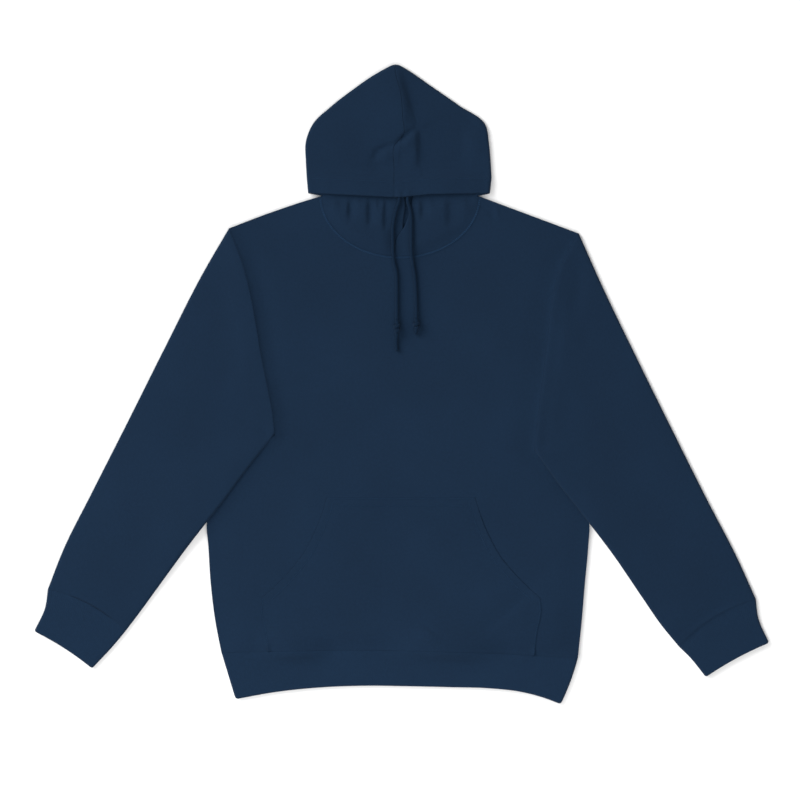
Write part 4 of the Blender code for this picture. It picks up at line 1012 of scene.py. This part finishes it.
def front_low(x, y):
    above_hem = y - hem_seam(x)
    blouse = BLOUSE * np.exp(-((above_hem - BLOUSE_UP) / BLOUSE_WIDTH) ** 2)
    from_neck = distance_to(NECK_LINE, x, y)
    raised = ease(*NECK_TURN, x)
    outer_width = lerp(NECK_DIP_WIDTH, NECK_RIDGE_WIDTH, raised)
    width = np.where(from_neck < NECK_RIDGE_OUT, NECK_RIDGE_WIDTH, outer_width)
    ridge = lerp(-NECK_DIP, NECK_RIDGE, raised) * np.exp(-((from_neck - NECK_RIDGE_OUT) / width) ** 2)
    loft = LOFT + blouse + BODY_DRIFT * drift(x, y)
    air = ease(0.0, LOFT_REACH, edge_distance(x, y)) * loft + ridge
    air = lerp(collar_lift(x), air, ease(0.0, NECK_RIDGE_OUT, from_neck))
    air = air + crease_rise(FRONT_CREASES, x, y) + armhole_crest(RIGHT, x, y) + armhole_crest(LEFT, x, y)
    under_pocket = ease(POCKET_HALF, POCKET_HALF - POCKET_FADE, np.abs(x - POCKET_MIDDLE))
    at_hem = hem_height(hem_share(x)) - 2 * FLEECE - SEAM_GAP - under_pocket * (FLEECE + POCKET_CLEAR)
    air = lerp(at_hem, air, ease(0.0, HEM_RUN, above_hem)) + crease_rise(HEM_CREASES, x, y, *HEM_FADE)
    return FLEECE + np.maximum(SEAM_GAP + air, LEAST_AIR)


def front_top(x, y):
    return front_low(x, y) + FLEECE


def pocket_side(side):
    """The side edge up to the corner, and the curved opening from there to the top edge."""
    points = [(POCKET_MIDDLE + side * (x - POCKET_MIDDLE), y) for x, y in POCKET_EDGE]
    points[0] = (points[0][0], hem_seam(points[0][0]) + POCKET_HEM_GAP)
    return smooth_line(points[:4], POCKET_STEP), smooth_line(points[3:], POCKET_STEP)


LEFT_EDGE, LEFT_OPENING = pocket_side(LEFT)
RIGHT_EDGE, RIGHT_OPENING = pocket_side(RIGHT)
BOTTOM_X = np.linspace(RIGHT_EDGE[0, 0], LEFT_EDGE[0, 0], POCKET_HEM_POINTS)
POCKET_BOTTOM = np.stack([BOTTOM_X, hem_seam(BOTTOM_X) + POCKET_HEM_GAP], axis=1)
POCKET_TOP_EDGE = walk([LEFT_OPENING[-1], RIGHT_OPENING[-1]], POCKET_STEP)
POCKET_OUTLINE = joined(POCKET_BOTTOM, LEFT_EDGE, LEFT_OPENING, POCKET_TOP_EDGE, RIGHT_OPENING[::-1],
                        RIGHT_EDGE[::-1])
POCKET_RIM = np.vstack([LEFT_EDGE, LEFT_OPENING[1:], RIGHT_OPENING[::-1], RIGHT_EDGE[::-1][1:]])
# How far the front rises beside each edge of the pocket.
POCKET_SINKS = [(POCKET_TOP_EDGE, 2.75), (np.vstack([RIGHT_EDGE, RIGHT_OPENING]), 2.7), (LEFT_EDGE, 2.1),
                (LEFT_OPENING, 1.5)]
# Its stitches lie beside the edges and where the top and the openings are turned in, short of the corners.
POCKET_ROWS = [
    moved(POCKET_TOP_EDGE, 1.8)[2:-2],
    moved(POCKET_TOP_EDGE, 12.8)[8:-8],
    moved(LEFT_EDGE, 1.8)[:-1],
    moved(RIGHT_EDGE, -1.8)[:-1],
    moved(LEFT_OPENING, 11.5)[6:-2],
    moved(RIGHT_OPENING, -11.5)[6:-2],
]


def beside_pocket(x, y):
    """The front's upper face, which rises gently towards the edges of the pocket."""
    swell = 0.0 * x
    for edge, sink in POCKET_SINKS:
        gap = np.minimum(distance_to(edge, x, y), 2 * POCKET_SINK_RUN)
        outside = np.exp(-(gap / POCKET_SINK_RUN) ** 2) * ease(0.0, POCKET_SINK_HEM, y - hem_seam(x))
        share = np.where(inside(POCKET_OUTLINE, x, y), ease(*POCKET_SINK_EDGE, gap), outside)
        swell = np.maximum(swell, sink * share)
    return front_top(x, y) + swell


def on_floor(x, y):
    return 0.0 * x


def back_top(x, y):
    return FLEECE + on_floor(x, y)


def make_body():
    front = layer("front_shell", body_outline(FRONT_DROP), front_low, beside_pocket, fleece,
                  "front_panel", lines=[moved(NECK_LINE, -NECK_RIDGE_OUT), POCKET_TOP_EDGE, POCKET_RIM])
    stitches("neck_stitches", [moved(NECK_LINE, -gap)[2:-2] for gap in NECK_ROWS], front_top, neck_thread,
             NECK_SINK, NECK_THREAD)
    back = layer("back_shell", body_outline(BACK_DROP), on_floor, back_top, fleece,
                 "back_panel")


def pocket_low(x, y):
    inward = ease(0.0, POCKET_HOLLOW_REACH, distance_to(POCKET_RIM, x, y))
    return front_top(x, y) + POCKET_CLEAR + POCKET_HOLLOW * inward * ease(0.0, HEM_RUN, y - hem_seam(x))


def pocket_top(x, y):
    grooves = 0.0
    for row in POCKET_ROWS:
        gap, along, _ = nearest(row, x, y)
        depth = GROOVE_DEPTH + GROOVE_RIPPLE * ripple(along, *POCKET_WAVES)
        grooves = grooves - depth * np.exp(-(gap / GROOVE_WIDTH) ** 2)
    return pocket_low(x, y) + FLEECE + grooves


def make_pocket():
    piece = layer("pocket_shell", POCKET_OUTLINE, pocket_low, pocket_top, fleece,
                  "kangaroo_pocket", SHOWN_FINE, FREE_EDGE, POCKET_ROWS, [LEFT_OPENING, RIGHT_OPENING])
    stitches("pocket_stitches", POCKET_ROWS, pocket_top, thread)


# ---------------------------------------------------------------- tubes: sleeves, cuffs, hem band

def tube(name, place, low, high, columns, stations, wall, look, node, edges, relief=None):
    """A flattened tube of cloth, open at both ends, from arrays of shares across and along.

    edges are the edge radii of its first and last end, as numbers or one for each column. What relief gives
    for f and end_gap is added outwards all the way round: the valleys between ribs, below zero.
    """
    first_edge, last_edge = edges
    corner_radius = 2.0 * np.min(last_edge)
    f, v = np.meshgrid(columns, stations)
    ends = (place(np.zeros_like(stations), stations), place(np.ones_like(stations), stations))
    across = np.hypot(ends[1][0] - ends[0][0], ends[1][1] - ends[0][1])[:, None]
    middle_x, middle_y = place(np.full_like(stations, 0.5), stations)
    steps = np.hypot(np.diff(middle_x), np.diff(middle_y))
    along = np.concatenate([[0.0], np.cumsum(steps)])[:, None] + 0.0 * f
    end_gap = np.minimum(along, along[-1:] - along)
    full = np.minimum(bulge(along, first_edge), bulge(along[-1:] - along, last_edge))
    corner = corner_radius * (1.0 - bulge(along[-1:] - along, corner_radius))

    def face(side, inset):
        margin = (inset + corner) / across
        share_across = lerp(margin, 1.0 - margin, f)
        x, y = place(share_across, v)
        bottom, top = low(x, y), high(x, y, share_across, v)
        middle, half = (bottom + top) / 2, (top - bottom) / 2 - inset
        round_off = bulge(np.minimum(f, 1.0 - f) * across, half)
        if inset == 0.0:
            half = half - wall / 2 * (1.0 - full)
            if relief is not None:
                half = half + relief(f, end_gap)
        else:
            half = half + wall / 2 * (1.0 - full)
        return np.stack([x, y, middle + side * half * round_off], axis=-1)

    shell = Shell(name)
    cloth = np.stack([f * across, along], axis=-1)
    for side in (1.0, -1.0):
        outer, inner = face(side, 0.0), face(side, wall)
        shell.grid(outer, cloth)
        shell.grid(inner, cloth)
        for end in (0, -1):
            shell.grid(np.stack([outer[end], inner[end]]), np.stack([cloth[end], cloth[end]]))
    return shell.build(look, node)


def crowded(count, edge):
    """Shares from 0 to 1 in even steps, with finer ones near both ends; edge lists those of the low end."""
    edge = np.array(edge)
    even = np.linspace(0.0, 1.0, count)
    even = even[(even > EDGE_CLEAR * edge[-1]) & (even < 1.0 - EDGE_CLEAR * edge[-1])]
    return np.concatenate([edge, even, 1.0 - edge[::-1]])


def side_paths(rows):
    """The inner and the outer side of a sleeve or cuff."""
    rows = np.array(rows, dtype=float)
    return smooth_path(rows[:, 2:]), smooth_path(rows[:, :2])


def end_direction(path):
    """Unit vector along the last tenth of a path."""
    run = path(1.0) - path(0.9)
    return run / np.linalg.norm(run)


def ruled(inner, outer, f, v):
    """The point v of the way down a sleeve, at the share f from its inner to its outer side."""
    point = lerp(inner(v), outer(v), np.asarray(f)[..., None])
    return point[..., 0], point[..., 1]


def lift_over_body(x, y, side):
    """How far a sleeve is raised where its inner side lies on the body, fading out beside the body's edge."""
    inside_edge = side * (body_edge(side, y) - x)
    underarm = ARMHOLES[side][0][1]
    body = 2 * FLEECE + SEAM_GAP + LOFT * ease(0.0, LOFT_REACH, inside_edge)
    below = ease(underarm, underarm - LIFT_RUN, y)
    return (body + LIFT_CLEAR) * below * ease(-LIFT_OUT, -LIFT_FULL, inside_edge)


def drape_over_body(x, y, side):
    """The same for the sleeve's upper face, which comes up round the underarm like a fan and sinks slowly."""
    inside_edge = side * (body_edge(side, y) - x)
    corner = ARMHOLES[side][0]
    turned = np.degrees(np.arctan2(side * (x - corner[0]), y - corner[1]))
    fan = ease(*DRAPE_FAN, turned)
    return (2 * FLEECE + SEAM_GAP + LIFT_CLEAR) * fan * ease(-DRAPE_OUT, -DRAPE_FULL, inside_edge)


def hump(f):
    """The rounded rise across a tube from its two folded sides to its middle."""
    return np.sqrt(np.maximum(bow(f), 0.0))


def between_folds(f):
    """0 at a tube's two folded sides and 1 midway."""
    return np.sin(np.pi * f) ** 0.5


def cuff_height(f):
    return 2 * CUFF_RIB + CUFF_AIR + CUFF_CROWN * hump(f)


def blend(a, b):
    """The greater of two heights, with a soft turn where they are alike."""
    return (a ** 4 + b ** 4) ** 0.25


RIB_RELIEF = 0.09
RIB_END = 2.0
GROOVE = 1.3
GROOVE_FROM = (0.2, 0.3)
GROOVE_TO = (0.76, 0.66)


def cuff_groove(side, share):
    """Edge radius along a cuff's seam: the right one's cloth is drawn in to a groove over its middle part."""
    drawn = ease(*GROOVE_FROM, share) * ease(*GROOVE_TO, share) if side == RIGHT else 0.0 * share
    return SEAM_EDGE + GROOVE * drawn


def ribs(count):
    """Relief of that many ribs across the front of a tube, fading out at its ends."""
    def relief(f, end_gap):
        return RIB_RELIEF * (np.sin(2.0 * math.pi * count * f) - 1.0) * ease(0.0, RIB_END, end_gap)
    return relief


def make_sleeve(side):
    inner, outer = side_paths(SLEEVES[side])
    down = end_direction(inner)
    arm_line = ARM_LINES[side]
    start, tip = arm_line[0], arm_line[-1]

    def place(f, v):
        x, y = ruled(inner, outer, f, v)
        straight_y = lerp(start[1], tip[1], f)
        from_straight = edge_x(arm_line, straight_y) + side * JOIN - lerp(start[0], tip[0], f)
        up = CUFF_BOW * bow(f) * ease(*CUFF_BOW_RUN, v)
        return x + (1.0 - v) ** 3 * from_straight - up * down[0], y - up * down[1]

    def low(x, y):
        return lift_over_body(x, y, side)

    def high(x, y, f, v):
        rise = ease(0.0, SLEEVE_CAP_REACH, distance_to(arm_line, x, y))
        near_cuff = ease(*CUFF_MEET, v)
        full = lerp(SLEEVE_FOLD + SLEEVE_CROWN * hump(f), cuff_height(f), near_cuff)
        slack = lerp(SLEEVE_DRIFT, CUFF_DRIFT, near_cuff) * drift(x, y)
        from_roll = (v - 1.0) * CUFF_ROLL_SCALE + CUFF_ROLL_PLACE
        roll = CUFF_ROLL * np.exp(-(from_roll / CUFF_ROLL_WIDTH) ** 2)
        shape = between_folds(f) * (crease_rise(SLEEVE_CREASES[side], x, y) + slack + roll)
        crest = np.maximum(lerp(1.0, between_folds(f), rise) * armhole_crest(side, x, y), 0.0)
        lifted = np.maximum(drape_over_body(x, y, side), low(x, y) - DRAPE_PRESS)
        return blend(lifted, crest) + lerp(SLEEVE_CAP, full, rise) + shape

    columns = crowded(76, [0.0, 0.0012, 0.0035, 0.008, 0.015, 0.025])
    stations = crowded(150, [0.0, 0.0001, 0.0007, 0.0018, 0.0035, 0.006])
    node = "sleeve_" + NAMES[side]
    piece = tube(node + "_shell", place, low, high, columns, stations, FLEECE, fleece, node,
                 (SEAM_EDGE, cuff_groove(side, columns)))


def make_cuff(side):
    inner, outer = side_paths(SLEEVES[side][-1:] + CUFFS[side])
    down = end_direction(side_paths(SLEEVES[side])[0])
    seam_gap = JOIN / math.sin(math.radians(CUFF_SEAM_ANGLE))

    def place(f, v):
        x, y = ruled(inner, outer, f, v)
        shift = seam_gap * (1.0 - v) - lerp(CUFF_BOW, CUFF_END_BOW, v) * bow(f)
        return x + shift * down[0], y + shift * down[1]

    def high(x, y, f, v):
        shape = between_folds(f) * (crease_rise(SLEEVE_CREASES[side], x, y) + CUFF_DRIFT * drift(x, y))
        return cuff_height(f) + np.maximum(shape, -CUFF_AIR)

    columns = crowded(301, [0.0, 0.002, 0.005])
    stations = crowded(20, [0.0, 0.0007, 0.006, 0.014, 0.026])
    node = "cuff_" + NAMES[side]
    piece = tube(node + "_shell", place, on_floor, high, columns, stations, CUFF_RIB, rib_knit,
                 node, (cuff_groove(side, columns), CUFF_RIB / 2), ribs(count=42))


def make_hem_band():
    end_line = smooth_path(HEM_ENDS)

    def place(f, v):
        x = lerp(SIDES[RIGHT][0][0], SIDES[LEFT][0][0], f)
        y = hem_seam(x) - JOIN
        end = end_line(f)
        return lerp(x, end[..., 0], v) + HEM_SWELL * bow(v) * f, lerp(y, end[..., 1], v)

    def high(x, y, f, v):
        sinking = lerp(2 * RIB + HEM_AIR, hem_height(f), (1.0 - v) ** HEM_SINK)
        slack = HEM_DRIFT * bow(v) * drift(HEM_DRIFT_SCALE * x, HEM_DRIFT_SCALE * y)
        shape = crease_rise(HEM_CREASES, x, y, *HEM_FADE) + slack
        return np.maximum(sinking + shape, 2 * RIB + HEM_LEAST_AIR)

    columns = crowded(900, [0.0, 0.0006, 0.0016])
    stations = crowded(18, [0.0, 0.001, 0.007, 0.016, 0.03])
    piece = tube("hem_band_shell", place, on_floor, high, columns, stations, RIB, rib_knit,
                 "hem_band", (SEAM_EDGE, RIB / 2), ribs(count=180))


# ---------------------------------------------------------------- hood

CROWN_LINE = smooth_line(CROWN_SEAM)
BACK_LINE = walk(BACK_SEAM)
# The throat's run up from the collar, and the share of its lift that is held down behind the cords, with
# their middle and the half width.
COLLAR_RUN = 20.0
CORD_PRESS = 0.85
CORD_MIDDLE = 3.0
CORD_PRESS_HALF = 21.0
CROWN_DRIFT = 0.4
CASING_STEP = 1.5
CASING_GROOVE = 0.35
CASING_GROOVE_WIDTH = 1.3
CASING_EDGE = 0.95
CASING_EDGE_RUN = 5.0
CORD_BULGE = 1.6
CORD_BULGE_HALF = 5.0
CORD_BULGE_REACH = 9.0


def along_x(points, x):
    return np.interp(x, *np.transpose(points))


def flap_low(side):
    """Height of a throat flap's underside: lifted a little, with the pleats pressed down into that lift."""
    def height(x, y):
        pressed = np.zeros(np.shape(x))
        for pleat in PLEATS:
            reach = ease(pleat.low, pleat.low + PLEAT_RUN, y)
            width = np.where(x < pleat.x, 1.0, PLEAT_SPREAD) * pleat.width
            pressed = np.maximum(pressed, pleat.share * reach * np.exp(-((x - pleat.x) / width) ** 2))
        above_overlap = ease(OVERLAP_LOW, OVERLAP_LOW + OVERLAP_RAMP, y)
        from_middle = lerp(ease(*OVERLAP_FLAT, np.abs(x)), 1.0, above_overlap)
        lift = FLAP_LIFT * (1.0 - pressed) * from_middle * ease(THROAT_END, THROAT_HALF, np.abs(x))
        open_throat = ease(*OPEN_THROAT, y) * ease(0.0, COLLAR_RUN, distance_to(NECK_LINE, x, y))
        beside_cords = 1.0 - CORD_PRESS * np.exp(-((x - CORD_MIDDLE) / CORD_PRESS_HALF) ** 4)
        lift = lift + THROAT_LIFT * (1.0 - pressed) * open_throat * beside_cords
        if side == LEFT:
            over = (1.0 - ease(*OVERLAP_HALF, x)) * (1.0 - above_overlap)
            lift = np.maximum(lift, (FLEECE + SEAM_GAP) * over)
        return FLEECE + SEAM_GAP + lift
    return height


def crown_low(x, y):
    rim_zone = 1.0 - ease(*RIM_ZONE, y)
    throat = ease(THROAT_END, THROAT_HALF, np.abs(x))
    puff = RIM_PUFF * ease(THROAT_END, RIM_PUFF_HALF, np.abs(x))
    air = HOOD_GAP_LOW + rim_zone * (RIM_LIFT_SIDE + RIM_LIFT_MIDDLE * throat + puff)
    folds = (crease_rise(CROWN_CREASES, x, y) + CROWN_DRIFT * drift(x, y)) * (1.0 - rim_zone)
    return FLEECE + np.maximum(air + folds, SEAM_GAP)


def casing_rise(x, y):
    """The turned casing along the rim: thicker cloth, a groove at its stitching, a rise over the cord."""
    above_rim = y - along_x(HOOD_RIM, x)
    thicker = CASING * ease(CASING_WIDTH + CASING_STEP, CASING_WIDTH - CASING_STEP, above_rim)
    groove = -CASING_GROOVE * np.exp(-((above_rim - CASING_WIDTH + CASING_STEP) / CASING_GROOVE_WIDTH) ** 2)
    cord = 0.0
    for side in BOTH:
        across = (x - CORDS[side][0][0]) / CORD_BULGE_HALF
        cord = cord + CORD_BULGE * np.exp(-across ** 2) * np.exp(-(above_rim / CORD_BULGE_REACH) ** 2)
    return thicker + groove + cord


def inset_of(line, hand):
    """The line moved sideways by a cloth's thickness, except at its two ends, which both faces share."""
    along = run_along(line)
    gap = np.minimum(along, along[-1] - along)
    return moved(line, (hand * FLEECE * np.clip(gap / INSET_RUN, 0.0, 1.0))[:, None])


def at_height(line, height):
    """Plan points with a height each: one number, or an array."""
    return np.column_stack([line, np.broadcast_to(height, len(line))])


def meeting(line, fold, shared, height):
    """A line with its own height, brought to the fold's where it meets that fold."""
    apart = ease(0.0, shared, distance_to(fold, line[:, 0], line[:, 1]))
    return at_height(line, lerp(shared, height, apart))


def round_to(line, radius, shared, x, y, z):
    """Bring a surface to the height of a fold that it shares, over the radius of that fold."""
    return lerp(shared, z, bulge(distance_to(line, x, y), radius))


def make_hood_half(side):
    """The back layer, the crown joined to it along the folded outline, and the throat flap, as one shell."""
    name = "hood_" + NAMES[side]
    outline = HOOD_OUTLINES[side]
    shift = np.array([side * JOIN / 2, 0.0])
    corner = np.array(outline[0])
    fold = np.vstack([walk(outline[:2])[:-1], smooth_line(outline[1:])])
    fold[-1] += shift
    fold_inner = inset_of(fold, side)

    crown_seam, back_seam = CROWN_LINE + shift, BACK_LINE + shift
    crown_seam[-1] = back_seam[-1] = fold[-1]
    rim_x = lerp(crown_seam[0, 0], corner[0], np.linspace(0.0, 1.0, RIM_POINTS))
    rim = np.stack([rim_x, along_x(HOOD_RIM, rim_x)], axis=1)
    rim[0], rim[-1] = crown_seam[0], corner

    neck_half = NECK_HALF - JOIN
    nape = neck_arc(np.linspace(0.0, side * math.pi / 2, NAPE_POINTS), neck_half, BACK_DROP, JOIN)
    nape[0] = back_seam[0]
    neck = nape[-1]
    end = np.array([side * FLAP_END[0], FLAP_END[1]])
    short_fold = walk([neck, end], FINE_STEP)
    short_inner = inset_of(short_fold, side)
    corner_run = walk([end, corner], FINE_STEP)

    free = FLAP_EDGES[side]
    turn = np.linspace(side * math.pi / 2, math.asin(free[0][0] / neck_half), COLLAR_POINTS)
    collar = neck_arc(turn, neck_half, FRONT_DROP - JOIN)
    collar[0] = neck
    free_edge = smooth_line([tuple(collar[-1])] + free[1:])
    flap_top = smooth_line([tuple(end)] + [(side * x, y) for x, y in FLAP_TOP[1:]] + [free[-1]])
    under_flap = flap_low(side)

    def crown_middle(x, y):
        return crown_low(x, y) + FLEECE / 2 + casing_rise(x, y) / 2

    def flap_middle(x, y):
        return under_flap(x, y) + FLEECE / 2

    back_open = np.vstack([back_seam[::-1], nape])
    flap_free = np.vstack([flap_top, free_edge[::-1]])
    lower_back = np.vstack([short_fold, corner_run])
    lower_inner = np.vstack([short_inner, corner_run])

    def crown(face, line, radius):
        def height(x, y):
            above_rim = y - along_x(HOOD_RIM, x)
            in_casing = CASING_EDGE * ease(CASING_WIDTH, CASING_WIDTH - CASING_EDGE_RUN, above_rim)
            edge = np.maximum(bulge(distance_to(crown_seam, x, y), CROWN_SEAM_EDGE), in_casing)
            edge = np.minimum(bulge(distance_to(rim, x, y), FREE_EDGE), edge)
            half = (FLEECE + casing_rise(x, y)) / 2 * edge
            return round_to(line, radius, HOOD_MID, x, y, crown_middle(x, y) + face * half)
        return height

    def back(face, line, lower, radius):
        def height(x, y):
            half = FLEECE / 2 * bulge(distance_to(back_open, x, y), SEAM_EDGE)
            lower_radius = FOLD_HEIGHT if face < 0 else INNER_EDGE
            z = round_to(lower, lower_radius, FOLD_HEIGHT, x, y, FLEECE / 2 + face * half)
            return round_to(line, radius, HOOD_MID, x, y, z)
        return height

    def flap(face, line):
        def height(x, y):
            at_collar = bulge(distance_to(collar, x, y), SEAM_EDGE)
            half = FLEECE / 2 * np.minimum(bulge(distance_to(flap_free, x, y), FREE_EDGE), at_collar)
            radius = FOLD_HEIGHT if face > 0 else INNER_EDGE
            return round_to(line, radius, FOLD_HEIGHT, x, y, flap_middle(x, y) + face * half)
        return height

    rim_up = meeting(rim, fold, HOOD_MID, crown_middle(*rim.T))
    seam_up = meeting(crown_seam, fold, HOOD_MID, crown_middle(*crown_seam.T))
    seam_up[0] = rim_up[0]
    back_up = meeting(back_seam, fold, HOOD_MID, FLEECE / 2)
    nape_up = meeting(nape, short_fold, FOLD_HEIGHT, FLEECE / 2)
    short_up, short_in = at_height(short_fold, FOLD_HEIGHT), at_height(short_inner, FOLD_HEIGHT)
    corner_up = at_height(corner_run, np.linspace(FOLD_HEIGHT, HOOD_MID, len(corner_run)))
    fold_up, fold_in = at_height(fold, HOOD_MID), at_height(fold_inner, HOOD_MID)
    collar_up, free_up, top_up = [meeting(line, short_fold, FOLD_HEIGHT, flap_middle(*line.T))
                                  for line in (collar, free_edge, flap_top)]
    free_up[0], free_up[-1] = collar_up[-1], top_up[-1]

    shell = Shell(name + "_shell")
    casing_row = rim[2:-2] + [0.0, CASING_WIDTH - CASING_STEP]
    crown_top = crown(1.0, fold, HOOD_MID)
    shell.surface(joined(rim_up, fold_up, seam_up[::-1]), SHOWN_FINE, crown_top, [casing_row])
    stitches(name + "_casing_stitches", [casing_row], crown_top, thread)
    shell.surface(joined(rim_up, fold_in, seam_up[::-1]), BETWEEN, crown(-1.0, fold_inner, INNER_FOLD))
    shell.surface(joined(back_up[::-1], nape_up, short_up, corner_up, fold_up), SHOWN,
                  back(-1.0, fold, lower_back, HOOD_MID))
    shell.surface(joined(back_up[::-1], nape_up, short_in, corner_up, fold_in), BETWEEN,
                  back(1.0, fold_inner, lower_inner, INNER_FOLD))
    shell.surface(joined(short_up, top_up, free_up[::-1], collar_up[::-1]), SHOWN_FINE, flap(1.0, short_fold))
    shell.surface(joined(short_in, top_up, free_up[::-1], collar_up[::-1]), BETWEEN, flap(-1.0, short_inner))
    piece = shell.build(fleece, name)


# ---------------------------------------------------------------- the making

for side in BOTH:
    make_cord(side)
make_body()
make_pocket()
for make in (make_hood_half, make_sleeve, make_cuff):
    for side in BOTH:
        make(side)
make_hem_band()


# ---------------------------------------------------------------- light

def soft_box(name, location, size, power):
    """A square area light that faces the middle of the garment."""
    light = bpy.data.lights.new(name, "AREA")
    light.energy = power
    light.size = size
    put(name, light, location).rotation_euler = (-Vector(location)).to_track_quat("-Z", "Y").to_euler()


soft_box("key", (-4.8, 3.2, 3.44), size=4.4, power=488.0)
soft_box("fill", (-0.1, -0.9, 1.5), size=1.6, power=21.3)

world = bpy.data.worlds.new("studio")
world.use_nodes = True
set_inputs(world.node_tree.nodes["Background"], {"Color": (1.0, 1.0, 1.0, 1.0), "Strength": 0.52})
bpy.context.scene.world = world
bpy.context.scene.view_settings.view_transform = "Standard"
